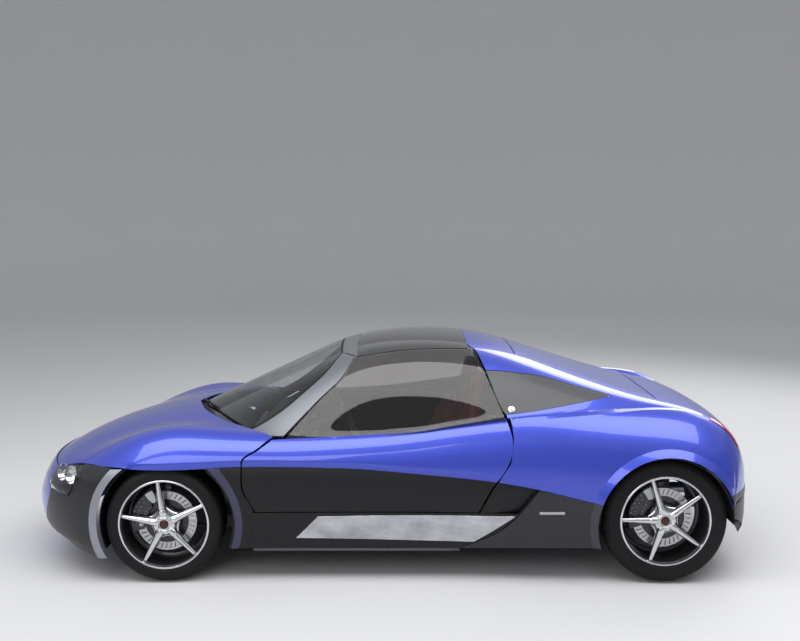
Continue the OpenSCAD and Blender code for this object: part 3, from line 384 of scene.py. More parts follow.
def metal(name, light, dark, rough, scale=60, stretch=(1, 1, 1), metallic=1.0, bump=0.08, depth=0.0003):
    mat, nodes, links, shader = newMaterial(name)
    vector = mapped(nodes, links, stretch)
    grain = noiseAt(nodes, links, vector, scale, 6.0, 0.6)
    links.new(ramp(nodes, links, grain, [(0.3, dark), (0.7, light)]), shader.inputs["Base Color"])
    links.new(levels(nodes, links, grain, rough * 0.75, rough * 1.3), shader.inputs["Roughness"])
    shader.inputs["Metallic"].default_value = metallic
    bumped(nodes, links, shader, grain, bump, depth)
    return mat


def plastic(name, light, dark, rough, scale=900, bump=0.25, depth=0.0004, specular=0.5, coat=0.0):
    mat, nodes, links, shader = newMaterial(name)
    vector = mapped(nodes, links)
    grain = noiseAt(nodes, links, vector, scale, 3.0)
    links.new(ramp(nodes, links, grain, [(0.3, dark), (0.7, light)]), shader.inputs["Base Color"])
    cloud = noiseAt(nodes, links, vector, 6.0)
    links.new(levels(nodes, links, cloud, rough * 0.85, rough * 1.15), shader.inputs["Roughness"])
    shader.inputs["Specular IOR Level"].default_value = specular
    shader.inputs["Coat Weight"].default_value = coat
    bumped(nodes, links, shader, grain, bump, depth)
    return mat


def glass(name, tint, rough=0.0):
    mat, nodes, links, shader = newMaterial(name)
    vector = mapped(nodes, links)
    film = noiseAt(nodes, links, vector, 2.0)
    dim = tuple(c * 0.92 for c in tint)
    links.new(ramp(nodes, links, film, [(0.3, dim), (0.7, tint)]), shader.inputs["Base Color"])
    shader.inputs["Transmission Weight"].default_value = 1.0
    shader.inputs["IOR"].default_value = 1.45
    shader.inputs["Roughness"].default_value = rough
    return mat


def leather(name, light, dark):
    mat, nodes, links, shader = newMaterial(name)
    vector = mapped(nodes, links)
    cells = nodes.new("ShaderNodeTexVoronoi")
    cells.inputs["Scale"].default_value = 420
    links.new(vector, cells.inputs["Vector"])
    cloud = noiseAt(nodes, links, vector, 9.0)
    links.new(ramp(nodes, links, cloud, [(0.25, dark), (0.75, light)]), shader.inputs["Base Color"])
    links.new(levels(nodes, links, cells.outputs["Distance"], 0.5, 0.36), shader.inputs["Roughness"])
    bumped(nodes, links, shader, cells.outputs["Distance"], 0.35, 0.0006)
    return mat


finish = {
    "blue": paint("bluePaint", (0.050, 0.085, 0.62), (0.030, 0.052, 0.46), 0.55, 0.34),
    "lowerGrey": paint("lowerGrey", (0.036, 0.036, 0.042), (0.020, 0.020, 0.025), 0.45, 0.42, 0.15),
    # painted shade: a darker copy of the lower grey for the side panels below the colour line, which sit in
    # shade
    "lowerGreyPaintedShade": paint("lowerGreyPaintedShade", (0.007, 0.007, 0.009), (0.004, 0.004, 0.005), 0.3, 0.42, 0.0),
    # painted highlight: the front arch lip in front of the wheel, a lit copy of the lip colour, lighter than
    # the same lip behind the wheel
    "lipPaintedLit": paint("lipPaintedLit", (0.30, 0.31, 0.34), (0.24, 0.25, 0.28), 0.5, 0.42, 0.2),
    # painted shade: the same front arch lip behind the wheel, a darker and bluer copy
    "lipPaintedShade": paint("lipPaintedShade", (0.060, 0.062, 0.11), (0.040, 0.042, 0.080), 0.5, 0.4, 0.2),
    "lipDark": paint("lipDark", (0.055, 0.055, 0.066), (0.035, 0.035, 0.044), 0.5, 0.38, 0.3),
    "quarterGrey": paint("quarterGrey", (0.085, 0.085, 0.088), (0.060, 0.060, 0.064), 0.4, 0.48, 0.15),
    "roofBlack": plastic("roofBlack", (0.010, 0.010, 0.011), (0.006, 0.006, 0.007), 0.12, 40, 0.02, 0.0002,
                         0.5, 1.0),
    "pillar": metal("pillarSilver", (0.22, 0.23, 0.25), (0.17, 0.18, 0.20), 0.42, 300, (1, 1, 1), 0.6),
    "plate": metal("plateAluminium", (0.62, 0.63, 0.65), (0.34, 0.35, 0.37), 0.22, 7, (1, 1, 1.6), 1.0, 0.02),
    "chrome": metal("brightChrome", (0.86, 0.87, 0.88), (0.78, 0.79, 0.81), 0.05, 20, (1, 1, 1), 1.0, 0.01),
    "rim": metal("rimPolish", (0.74, 0.75, 0.77), (0.60, 0.61, 0.63), 0.16, 90, (1, 1, 1), 1.0, 0.03),
    "barrel": metal("barrelDark", (0.075, 0.075, 0.080), (0.045, 0.045, 0.050), 0.3, 60, (1, 1, 1), 0.8),
    "disc": metal("discSteel", (0.56, 0.56, 0.57), (0.44, 0.44, 0.45), 0.3, 160),
    "caliper": metal("caliperAlloy", (0.55, 0.56, 0.58), (0.42, 0.43, 0.45), 0.38, 220, (1, 1, 1), 0.9, 0.2),
    "steel": metal("plainSteel", (0.42, 0.42, 0.44), (0.30, 0.30, 0.32), 0.35, 150),
    "cast": metal("castAlloy", (0.24, 0.24, 0.25), (0.15, 0.15, 0.16), 0.55, 420, (1, 1, 1), 0.8, 0.35,
                  0.0006),
    "tub": metal("tubAlloy", (0.12, 0.12, 0.13), (0.07, 0.07, 0.08), 0.5, 120, (1, 1, 1), 0.6),
    "rubber": plastic("tyreRubber", (0.008, 0.008, 0.009), (0.004, 0.004, 0.005), 0.66, 700, 0.3, 0.0005,
                      0.25),
    "dash": plastic("dashGrain", (0.020, 0.020, 0.022), (0.010, 0.010, 0.011), 0.55, 520, 0.4, 0.0006),
    "trim": plastic("blackTrim", (0.008, 0.008, 0.009), (0.004, 0.004, 0.005), 0.5, 600, 0.2, 0.0004, 0.3),
    "leather": leather("redLeather", (0.30, 0.032, 0.024), (0.19, 0.016, 0.013)),
    "grip": leather("blackLeather", (0.022, 0.021, 0.021), (0.011, 0.011, 0.011)),
    "screen": glass("screenGlass", (0.80, 0.82, 0.83)),
    "sideGlass": glass("sideGlass", (0.50, 0.48, 0.48)),
    "lens": glass("lampLens", (0.97, 0.98, 0.99)),
    "lampRed": plastic("lampRed", (0.55, 0.010, 0.012), (0.38, 0.006, 0.008), 0.12, 60, 0.05, 0.0003, 0.5,
                       1.0),
    "bulb": plastic("bulbWhite", (0.78, 0.79, 0.80), (0.66, 0.67, 0.69), 0.2, 40, 0.02, 0.0002, 0.5, 0.5),
    "capRed": plastic("capRed", (0.060, 0.007, 0.008), (0.035, 0.005, 0.006), 0.25, 200, 0.1),
}
print("materials made:", len(finish))

# making pieces


def newPiece(name, verts, faces, materials, bodyName="chassis", stands=(), bevel=0.0,
             faceMaterial=None, angle=50, smooth=True, sharp=40):
    mesh = bpy.data.meshes.new(name)
    mesh.from_pydata([tuple(float(c) for c in p) for p in verts], [],
                     [tuple(int(i) for i in f) for f in faces])
    for mat in materials if isinstance(materials, (list, tuple)) else [materials]:
        mesh.materials.append(mat)
    if faceMaterial is not None:
        mesh.polygons.foreach_set("material_index", np.asarray(faceMaterial, int))
    piece = bpy.data.objects.new(name, mesh)
    bpy.context.scene.collection.objects.link(piece)
    bm = bmesh.new()
    bm.from_mesh(mesh)
    bmesh.ops.remove_doubles(bm, verts=bm.verts, dist=1e-6)
    bmesh.ops.delete(bm, geom=[v for v in bm.verts if not v.link_faces], context="VERTS")
    bmesh.ops.recalc_face_normals(bm, faces=bm.faces)
    for f in bm.faces:
        f.smooth = smooth
    for e in bm.edges:
        e.smooth = len(e.link_faces) != 2 or e.calc_face_angle() < math.radians(sharp)
    bm.to_mesh(mesh)
    bm.free()
    if bevel:
        edge = piece.modifiers.new("edge", "BEVEL")
        edge.width = bevel
        edge.segments = 2
        edge.limit_method = "ANGLE"
        edge.angle_limit = math.radians(angle)
        edge.harden_normals = True
    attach(piece, bodyName)
    if stands:
        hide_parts(*stands)
    return piece


def sheetPart(outer, inner, holes=(), flip=False):  # closed sheet between two grids, holes left open
    rows, cols = outer.shape[0] - 1, outer.shape[1] - 1
    n = (rows + 1) * (cols + 1)
    blank = np.zeros((rows + 2, cols + 2), bool)
    blank[0], blank[-1], blank[:, 0], blank[:, -1] = True, True, True, True
    for a, b, c, d in holes:
        blank[a + 1:b + 1, c + 1:d + 1] = True
    faces, cells = [], []
    for i in range(rows):
        for j in range(cols):
            if blank[i + 1, j + 1]:
                continue
            a = i * (cols + 1) + j
            b, d = a + 1, a + cols + 1
            c = d + 1
            found = [(a, d, c, b), (a + n, b + n, c + n, d + n)]
            if blank[i, j + 1]:
                found.append((a, b, b + n, a + n))
            if blank[i + 1, j + 2]:
                found.append((b, c, c + n, b + n))
            if blank[i + 2, j + 1]:
                found.append((c, d, d + n, c + n))
            if blank[i + 1, j]:
                found.append((d, a, a + n, d + n))
            faces += found
            cells += [(i, j)] * len(found)
    verts = np.concatenate([outer.reshape(-1, 3), inner.reshape(-1, 3)])
    if flip:
        verts = verts * [1, -1, 1]
        faces = [f[::-1] for f in faces]
    return verts, faces, cells


def joinParts(parts):
    verts, faces, cells, base = [], [], [], 0
    for v, f, c in parts:
        verts.append(v)
        faces += [tuple(i + base for i in one) for one in f]
        cells += list(c)
        base += len(v)
    return np.concatenate(verts), faces, cells


def build(name, parts, materials, bodyName="chassis", stands=(), bevel=0.0, angle=50, smooth=True,
          sharp=40):
    verts, faces, marks = joinParts(parts)
    return newPiece(name, verts * 0.001, faces, materials, bodyName, stands, bevel, marks, angle,
                    smooth, sharp)


def sheetPiece(name, outer, inner, materials, stands=(), pair=False, holes=(), bevel=0.0012,
               bodyName="chassis", paintCell=lambda i, j: 0, flips=(False,), sharp=40):
    parts = [sheetPart(outer, inner, holes, flip) for flip in ((False, True) if pair else flips)]
    parts = [(v, f, [paintCell(i, j) for i, j in c]) for v, f, c in parts]
    return build(name, parts, materials, bodyName, stands, bevel, sharp=sharp)


def skinOf(net, uv, thick, lift=0.0, shape=None):  # outer and inner grids of a panel
    u, v = uv[..., 0], uv[..., 1]
    p, n = surf(net, u, v), normals(net, u, v)
    if shape is not None:
        p = shape(p)
    return p + lift * n, p + (lift - thick) * n


def panelPiece(name, net, uv, mat, stands=(), thick=None, pair=False, lift=0.0, holes=(),
               bevel=0.0012, bodyName="chassis", shape=None, paintCell=lambda i, j: 0, sharp=40):
    outer, inner = skinOf(net, uv, thick or body["skin"], lift, shape)
    return sheetPiece(name, outer, inner, mat, stands, pair, holes, bevel, bodyName, paintCell,
                      sharp=sharp)


def loft(rings, mark=0, cap=True):  # closed rings of points joined one to the next, with flat ends
    rings = np.asarray(rings, float)
    n, m = rings.shape[:2]
    faces = [(i * m + j, i * m + (j + 1) % m, (i + 1) * m + (j + 1) % m, (i + 1) * m + j)
             for i in range(n - 1) for j in range(m)]
    if cap:
        faces += [tuple(range(m))[::-1], tuple(range((n - 1) * m, n * m))]
    return rings.reshape(-1, 3), faces, [mark] * len(faces)


def joinEnds(part, count):  # joins the last ring of a loft to the first
    v, f, m = part
    last = len(v) - count
    joint = [(last + j, last + (j + 1) % count, (j + 1) % count, j) for j in range(count)]
    return v, f + joint, m + [0] * count


def turned(profile, marks=0, steps=96, closed=True):  # profile of radius and depth, turned about the axle
    p = np.asarray(profile, float)
    k = len(p)
    a = np.linspace(0, 2 * np.pi, steps, endpoint=False)
    verts = np.stack([np.outer(np.cos(a), p[:, 0]), np.tile(p[:, 1], (steps, 1)),
                      np.outer(np.sin(a), p[:, 0])], -1)
    spans = range(k if closed else k - 1)
    marks = [marks] * k if isinstance(marks, int) else marks
    faces, faceMarks = [], []
    for i in range(steps):
        for j in spans:
            b, c = (i + 1) % steps, (j + 1) % k
            faces.append((i * k + j, b * k + j, b * k + c, i * k + c))
            faceMarks.append(marks[j])
    return verts.reshape(-1, 3), faces, faceMarks


def tube(path, radius, sides=8, mark=0):  # round bar along a path, its radius at each point
    p = np.asarray(path, float)
    t = np.gradient(p, axis=0)
    t /= np.linalg.norm(t, axis=1, keepdims=True)
    side = np.cross(t, [0.12, 0.31, 0.94])
    side /= np.linalg.norm(side, axis=1, keepdims=True)
    up = np.cross(side, t)
    a = np.linspace(0, 2 * np.pi, sides, endpoint=False)
    r = np.broadcast_to(np.asarray(radius, float), (len(p),))[:, None, None]
    circle = np.cos(a)[None, :, None] * side[:, None] + np.sin(a)[None, :, None] * up[:, None]
    return loft(p[:, None] + r * circle, mark)


def block(low, high, mark=0):
    (a, b, c), (d, e, f) = low, high
    return loft([[[a, b, c], [d, b, c], [d, e, c], [a, e, c]],
                 [[a, b, f], [d, b, f], [d, e, f], [a, e, f]]], mark)


def moved(part, by):
    return part[0] + by, part[1], part[2]


def bothSides(parts):  # the parts and their mirror images
    return parts + [(v * [1, -1, 1], [g[::-1] for g in f], m) for v, f, m in parts]


def applied(thing):  # mesh of a thing with its modifiers applied
    return bpy.data.meshes.new_from_object(thing.evaluated_get(bpy.context.evaluated_depsgraph_get()))


def repeatGroup():  # nodes that repeat a shape by a step and a turn
    group = bpy.data.node_groups.new("repeatShape", "GeometryNodeTree")
    for name, kind in (("Geometry", "NodeSocketGeometry"), ("Count", "NodeSocketInt"),
                       ("Step", "NodeSocketVector"), ("Turn", "NodeSocketVector"),
                       ("Material", "NodeSocketMaterial")):
        group.interface.new_socket(name, in_out="INPUT", socket_type=kind)
    group.interface.new_socket("Geometry", in_out="OUTPUT", socket_type="NodeSocketGeometry")
    nodes, links = group.nodes, group.links
    source, sink = nodes.new("NodeGroupInput"), nodes.new("NodeGroupOutput")
    row = nodes.new("GeometryNodeMeshLine")
    links.new(source.outputs["Count"], row.inputs["Count"])
    links.new(source.outputs["Step"], row.inputs["Offset"])
    index = nodes.new("GeometryNodeInputIndex")
    turn = nodes.new("ShaderNodeVectorMath")
    turn.operation = "SCALE"
    links.new(source.outputs["Turn"], turn.inputs[0])
    links.new(index.outputs["Index"], turn.inputs["Scale"])
    copies = nodes.new("GeometryNodeInstanceOnPoints")
    links.new(row.outputs["Mesh"], copies.inputs["Points"])
    links.new(source.outputs["Geometry"], copies.inputs["Instance"])
    links.new(turn.outputs["Vector"], copies.inputs["Rotation"])
    real = nodes.new("GeometryNodeRealizeInstances")
    links.new(copies.outputs["Instances"], real.inputs["Geometry"])
    dress = nodes.new("GeometryNodeSetMaterial")
    links.new(real.outputs["Geometry"], dress.inputs["Geometry"])
    links.new(source.outputs["Material"], dress.inputs["Material"])
    links.new(dress.outputs["Geometry"], sink.inputs["Geometry"])
    return group


repeater = repeatGroup()
socketOf = {item.name: item.identifier for item in repeater.interface.items_tree if item.in_out == "INPUT"}


def repeated(part, count, step=(0, 0, 0), turn=(0, 0, 0), mark=0):
    verts, faces, _ = part
    mesh = bpy.data.meshes.new("shape")
    mesh.from_pydata([tuple(map(float, p)) for p in verts], [], [tuple(map(int, f)) for f in faces])
    thing = bpy.data.objects.new("shape", mesh)
    bpy.context.scene.collection.objects.link(thing)
    copies = thing.modifiers.new("copies", "NODES")
    copies.node_group = repeater
    copies[socketOf["Count"]] = count
    copies[socketOf["Step"]] = step
    copies[socketOf["Turn"]] = turn
    copies[socketOf["Material"]] = finish["trim"]
    flat = applied(thing)
    out = np.empty(len(flat.vertices) * 3)
    flat.vertices.foreach_get("co", out)
    found = [tuple(f.vertices) for f in flat.polygons]
    bpy.data.objects.remove(thing)
    bpy.data.meshes.remove(flat)
    return out.reshape(-1, 3), found, [mark] * len(found)


def ringOf(part, count, mark=0):  # evenly round the axle
    return repeated(part, count, turn=(0, 2 * math.pi / count, 0), mark=mark)


# nose, lamps, bonnet and front wings

nose = {
    "back": [[120, 165], [160, 98], [200, 31], [240, 10], [280, 2], [320, 0], [360, 5], [400, 18], [440, 35],
             [470, 53], [500, 74], [520, 92]],
    "shield": [[120, 380], [200, 462], [258, 524], [329, 567], [376, 581], [415, 568], [432, 521], [472, 527],
               [520, 549]],
    "tip": -1935, "side": -1250, "low": 125, "top": 520,
    "columns": [[621, 420, 0, 450], [679, 415, 0, 520], [728, 416.5, 0, 590], [741, 436, 0, 640],
                [748, 471, 0, 672], [735, 531, 758, 700], [692, 571, 770, 722], [731, 577.2, 778, 735],
                [784, 577.4, 790, 752], [806, 577.5, 806, 772]],
    "wing": [[556, 531], [646, 563], [731, 578], [780, 578]],
    "cowl": [[-1066, 1], [-985, 280], [-890, 450], [-760, 600]],
    "shut": [[-560, 724], [-634, 676], [-711, 616]],
    "shutX": -705, "intake": (322, 223), "wingFoot": 577,
}
noseBack = smoothCurve(nose["back"], 200)
lampShape = {
    "low": [[0, 432], [0.45, 421], [0.75, 415.5], [1, 417]], "inner": [[0, 556], [0.5, 528], [1, 522]],
    "outer": [[0, 690], [0.25, 735], [0.64, 748], [0.87, 741], [1, 728]],
    "cups": [(0.30, 0.35, 46), (0.73, 0.36, 48)],  # place across and down the lens, and radius
    "aim": (-0.62, 0.76, 0.18), "setBack": 14, "rimDepth": 8, "bowlDepth": 70, "thick": 3,
}


def noseAt(z):  # front of the nose on the centre line
    return nose["tip"] + np.interp(z, noseBack[:, 0], noseBack[:, 1])


def nosePoint(y, z, off=0.0):
    y, z = np.broadcast_arrays(np.asarray(y, float), np.asarray(z, float))
    x = sweep(noseAt(z), nose["side"], y, *body["nose"])
    return np.stack([x + off, y, z], -1)


def noseEnd(z, radius):  # half width where the nose meets a circle round the front wheel
    x = wheels["archX"] - archHalf(z, radius) - nose["side"]
    k = np.maximum(0, x / (noseAt(z) - nose["side"]))
    width, square = body["nose"]
    return width * (1 - k**square) ** (1 / square)


def atFront(y, z):
    return seek(frontNet, 2, z, 1, y, 0, 5.9, 0, 3)


def atEdge(x, z):
    return seek(frontNet, 0, x, 2, z, 4.5, 7, 0, 5)


def frontPoint(y, z):
    y, z = np.broadcast_arrays(np.asarray(y, float), np.asarray(z, float))
    uv = atFront(y, np.maximum(z, nose["top"]))
    return np.where((z <= nose["top"])[..., None], nosePoint(y, z), surf(frontNet, uv[..., 0], uv[..., 1]))


def lampYz(s, t):  # place across and down the lamp to half width and height
    s, t = np.broadcast_arrays(np.asarray(s, float), np.asarray(t, float))
    y = mix(smoothAt(lampShape["inner"], t), smoothAt(lampShape["outer"], t), s)
    top = smoothAt(nose["wing"], mix(556, 690, s))
    return y, mix(top, smoothAt(lampShape["low"], s), t)


def bonnetNet():
    y = np.linspace(556, 780, 33)
    lampEdge = atFront(y, smoothAt(nose["wing"], y) + body["seam"])
    noseEdge = straight([0, 0], [0, float(findV(frontNet, 0, 1, 548, 0, 5))], 39)
    shutU = atSide(frontNet, nose["shutX"] - body["gap"], 588, 5, 7)[0]
    right = [lampEdge[-1]]
    for k in range(1, 7):
        u = mix(lampEdge[-1][0], shutU, k / 6)
        right.append([u, float(findV(frontNet, u, 2, splitAt(surf(frontNet, u, 5.8)[0]), 4.5, 7))])
    cowl = [atTop(frontNet, x, y, 0, 4) for x, y in nose["cowl"]]
    cowl[0] = [cowl[0][0], 0]
    shut = [atSide(frontNet, x, z, 3.6, 8) for x, z in nose["shut"]]
    back = np.concatenate([smoothCurve(cowl + shut[:1], 48)[:-1], smoothCurve(shut + [right[6]], 25)])
    net = coons(np.concatenate([noseEdge, lampEdge]), back, straight([0, 0], [cowl[0][0], 0], 70),
                smoothCurve(right, 70))
    return resample(net, np.concatenate([np.linspace(0, 0.9, 62), np.linspace(0.9, 1, 26)[1:]]))


panelPiece("bonnet_and_wings", frontNet, across(bonnetNet()), finish["blue"], ["front_clip"],
           shape=tuck)


def nosePanel():  # painted shield with the intake left open
    high, low = nose["intake"]
    even = np.linspace(nose["top"] - 0.6, nose["low"], 37)
    z = np.unique(np.concatenate([even, [496, 472, 432, 415, 376, high, low]]))[::-1]
    y = np.linspace(-1, 1, 49)[:, None] * lineAt(nose["shield"], z)[None]
    top, bottom = [int(np.argmin(np.abs(z - h))) for h in (high, low)]
    z = np.broadcast_to(z, y.shape)
    sheetPiece("nose_panel", nosePoint(y, z), nosePoint(y * 0.993, z, body["skin"]), finish["blue"],
               ["nose_shield"], holes=[(12, 36, top, bottom)], bevel=0.0015)


nosePanel()


def bumperGrid():  # columns from the shield to the wheel arch, then the flat lip round the arch
    t = np.linspace(0, 1, 49)
    z = mix(415, nose["low"], t)
    made = [(lineAt(nose["shield"], z) + body["seam"], z)]
    for y0, z0, ym, y1 in nose["columns"]:
        z = mix(z0, nose["low"], t)
        if z0 > nose["top"]:
            high = mix(y0, ym, np.clip((z0 - z) / (z0 - nose["top"]), 0, 1))
            y = np.where(z > nose["top"], high, mix(ym, y1, (nose["top"] - z) / (nose["top"] - nose["low"])))
        else:
            y = mix(y0, y1, t)
        made.append((y, z))
    cols = []
    for (ya, za), (yb, zb) in zip(made[:-1], made[1:]):
        cols += [frontPoint(mix(ya, yb, k / 5), mix(za, zb, k / 5)) for k in range(5)]
    cols.append(frontPoint(*made[-1]))
    z = mix(nose["wingFoot"], nose["low"], t)
    circle = []
    for radius in (wheels["lip"], wheels["arch"]):
        uv = atEdge(wheels["archX"] - archHalf(z, radius), np.maximum(z, nose["top"]))
        half = np.where(z > nose["top"], surf(frontNet, uv[:, 0], uv[:, 1])[:, 1], noseEnd(z, radius))
        half = np.polyval(np.polyfit(z / 100, half, 4), z / 100)
        circle.append(np.stack([wheels["archX"] - archHalf(z, radius), half, z], -1))
    cols += [mix(cols[-1], circle[0], k / 6) for k in range(1, 7)]
    lipStart = len(cols)
    for k in range(6):
        p = mix(circle[0], circle[1], max(k, 0.04) / 5)
        p[:, 1] = circle[1][:, 1] + 1.5
        cols.append(p)
    return np.stack(cols), lipStart


outer, lipStart = bumperGrid()
# the lip cells round the front of the front wheel take the lighter lip colour: painted highlight
sheetPiece("bumper_front", outer, outer - body["skin"] * outward(outer),
           [finish["lowerGrey"], finish["lipPaintedLit"]], ["front_bumper"], True, bevel=0.0,
           paintCell=lambda i, j: int(i >= lipStart), sharp=24)


def lampParts():
    lens = frontPoint(*lampYz(np.linspace(0.012, 0.988, 33)[:, None], np.linspace(0.02, 0.985, 25)[None]))
    n, thick = outward(lens), lampShape["thick"]
    s, t = np.linspace(-1, 1, 33)[:, None], np.linspace(-1, 1, 25)[None]
    deep = lampShape["rimDepth"] + lampShape["bowlDepth"] * (1 - np.abs(s) ** 5) * (1 - np.abs(t) ** 5)
    bowl = lens - deep[..., None] * n
    sheetPiece("lamp_bowls", bowl, bowl - thick * n, [finish["trim"]], (), True, bevel=0.0)
    sheetPiece("lamp_lenses", lens, lens - thick * n, finish["lens"], ["headlamps"], True,
               bevel=0.0008)
    axis = np.array(lampShape["aim"])
    axis /= np.linalg.norm(axis)
    side = np.cross(axis, [0, 0, 1])
    side /= np.linalg.norm(side)
    turnTo = np.stack([side, axis, np.cross(side, axis)])
    bulb = [(0.01, -12), (9, -14), (13, -20), (14, -30), (14, -46), (0.01, -46)]
    parts = []
    for sAt, tAt, size in lampShape["cups"]:
        middle = frontPoint(*lampYz(sAt, tAt)) - lampShape["setBack"] * axis
        cup = [(size, -8), (size - 3, -8), (size * 0.8, -24), (size * 0.5, -38), (16, -44), (16, -48),
               (size * 0.55, -42), (size * 0.86, -27), (size, -12)]
        for profile, mark in ((cup, 0), (bulb, 1)):
            v, f, m = turned(profile, mark, 40)
            parts.append((v @ turnTo + middle, f, m))
    build("lamp_reflectors", bothSides(parts), [finish["chrome"], finish["bulb"]], "chassis", ())


lampParts()
print("nose, lamps and bonnet made")

# sides

sides = {
    "frontRear": [[-708, 480], [-652, 362], [-660, 260], [-680, 165.5]], "frontStep": 2.5, "returnIn": 806,
    "sillX": [[-651, -300, 0, 300, 520, 675], [-659, -300, 0, 280, 460, 576],
              [-679, -320, -40, 160, 290, 376]],
    "sillZ": [356, 260, 165.5],
    "plateTop": [[-332, 338], [0, 343], [330, 345], [656, 345]],
    "plateLow": [[-444, 222], [-140, 216], [160, 209], [452, 204]],
    "cornerFront": [[569, 512], [549, 485], [480, 357]], "cornerRear": [[775, 479], [724, 415], [677, 357]],
    "cornerLow": [[480, 357], [580, 357], [677, 357]], "cornerDip": 30, "flare": 15,
    "strip": [[772, 371], [896, 374], [773, 357], [896, 360]],
}


def frontSideNet():  # the lip round the arch first, then the rest of the panel
    z = np.concatenate([[577], np.linspace(560, 165.5, 40)])
    lip, ring = [atSide(frontNet, wheels["archX"] + archHalf(z, r), z, 4, 8)
                 for r in (wheels["arch"], wheels["lip"])]
    rear = sideCurve(frontNet, [[-711, splitAt(-711) - 1]] + sides["frontRear"], 4, 8, 41)
    for edge in (lip, ring, rear):
        x = surf(frontNet, edge[0, 0], edge[0, 1])[0]
        edge[0] = atSide(frontNet, x, splitAt(x) - 1, 4, 8)
    return np.concatenate([rowsBetween(lip, ring, 0, 1, 6), rowsBetween(ring, rear, 0.01, 1, 16)])


def frontLip(p):
    p = tuck(p)
    p[:6, :, 1] = p[6, :, 1] + sides["frontStep"]
    return p


# the lip cells behind the front wheel take the darker lip colour: painted shade
# the side panel behind the front wheel takes the darker copy of the lower grey: painted shade
panelPiece("front_sides_painted_shade", frontNet, frontSideNet(), [finish["lowerGreyPaintedShade"], finish["lipPaintedShade"]],
           ["front_side_panels"], pair=True, shape=frontLip,
           paintCell=lambda i, j: int(i < 6), sharp=10)


def archReturns():  # dark inner edge between the liner and the panel behind a front wheel
    z = np.linspace(167, 574, 40)
    along, up, inner = archHalf(z, wheels["arch"]), z - wheels["archZ"], sides["returnIn"]
    edge = atSide(frontNet, wheels["archX"] + along, z, 4, 8)
    outer = np.abs(surf(frontNet, edge[:, 0], edge[:, 1])[:, 1]) - 5
    rings = [[[wheels["archX"] + x * s, -y, wheels["archZ"] + h * s]
              for s, y in ((0.9775, inner), (0.9988, inner), (0.9988, out), (0.9775, out))]
             for x, h, out in zip(along, up, outer)]
    return bothSides([loft(rings)])


build("arch_returns", archReturns(), finish["trim"], "chassis", ())


def sideBand(net, topPoints, lowPoints, rows, cols, low, high):
    a = sideCurve(net, topPoints, low, high, rows)
    b = sideCurve(net, lowPoints, low, high, rows)
    return columnsBetween(a, b, cols)


sillTop, sillMid, sillLow = [[[x, z] for x in row] for row, z in zip(sides["sillX"], sides["sillZ"])]
upper = sideBand(frontNet, sillTop, sillMid, 60, 9, 4, 8)
lower = sideBand(frontNet, sillMid, sillLow, 60, 9, 4, 8)
# the sills take the darker copy of the lower grey: painted shade
panelPiece("sills", frontNet, np.concatenate([upper, lower[:, 1:]], 1), finish["lowerGreyPaintedShade"], ["side_sills"],
           pair=True)
plateNet = sideBand(frontNet, sides["plateTop"], sides["plateLow"], 60, 14, 4, 8)
panelPiece("sill_trims", frontNet, plateNet, finish["plate"], ["sill_plates"], 4, True, 4.5,
           bevel=0.002)


def cornerNet():
    x = np.linspace(569, 775, 24)
    top = atSide(frontNet, x, splitAt(x) - 1, 4, 8)
    front = sideCurve(frontNet, sides["cornerFront"], 4, 8, 20)
    rear = sideCurve(frontNet, sides["cornerRear"], 4, 8, 20)
    front[0], rear[0] = top[0], top[-1]
    return coons(front, rear, top, sideCurve(frontNet, sides["cornerLow"], 4, 8, 24))


def scoop(p):  # the corner falls in towards the slanted edge of the panel behind it
    p = tuck(p)
    k = np.linspace(0, 1, p.shape[0])[:, None, None]
    return p - sides["cornerDip"] * k**1.6 * np.sign(p[..., 1:2]) * [0, 1, 0]


# the corner panels take the darker copy of the lower grey: painted shade
panelPiece("door_corners", frontNet, cornerNet(), finish["lowerGreyPaintedShade"], ["rear_corner_panels"],
           pair=True, shape=scoop)


def rearSideNet():  # from the slanted edge to the lip, then the lip round the arch
    front = sideCurve(cabinNet, [[x + 1, z] for x, z in lines["slant"]], 6, 10, 41)
    z = np.linspace(412, 180, 41)
    lip, ring = [atSide(cabinNet, wheels["rearX"] - archHalf(z, r), z, 6, 10)
                 for r in (wheels["arch"], wheels["lip"])]
    for edge in (front, lip, ring):
        x = surf(cabinNet, edge[0, 0], edge[0, 1])[0]
        edge[0] = atSide(cabinNet, x, splitAt(x) - 1.2, 6, 10)
    return np.concatenate([rowsBetween(front, ring, 0, 0.99, 24), rowsBetween(ring, lip, 0, 1, 6)])


def rearLip(p):  # the lip round the rear wheel arch flares out from a crease
    r = np.hypot(p[..., 0] - wheels["rearX"], p[..., 2] - wheels["archZ"])
    near = (p[..., 0] > 1000) * (np.abs(p[..., 1]) > 700)
    flare = sides["flare"] * np.clip((wheels["lip"] + 0.2 - r) / 38, 0, 1) * near
    return tuck(p) + flare[..., None] * np.sign(p[..., 1:2]) * [0, 1, 0]


panelPiece("rear_sides", cabinNet, rearSideNet(), [finish["lowerGrey"], finish["lipDark"]],
           ["rear_side_panels"], 30, pair=True, shape=rearLip,
           paintCell=lambda i, j: int(i >= 24), sharp=9)
strip = [atSide(cabinNet, x, z, 6, 10) for x, z in sides["strip"]]
stripNet = columnsBetween(straight(strip[0], strip[1], 12), straight(strip[2], strip[3], 12), 4)
panelPiece("side_strips", cabinNet, stripNet, finish["plate"], (), 3, True, 2.5, bevel=0.0006)
print("sides made")

# tail

tail = {
    "lidFront": 690, "lidRear": 1440, "lidHalf": [[690, 385], [1440, 460]], "lidGap": 7, "tip": 1165,
    "end": 1935, "side": 1500, "most": 848, "back": [[150, 90], [190, 40], [240, 10], [300, 0], [412, 0]],
    "lowEdge": [[0, 180], [0.62, 195], [0.76, 230], [0.9, 285], [1, 325]],
    "bandTop": 450, "bandLow": 413, "strips": (1655, 1800), "cells": 6,
}


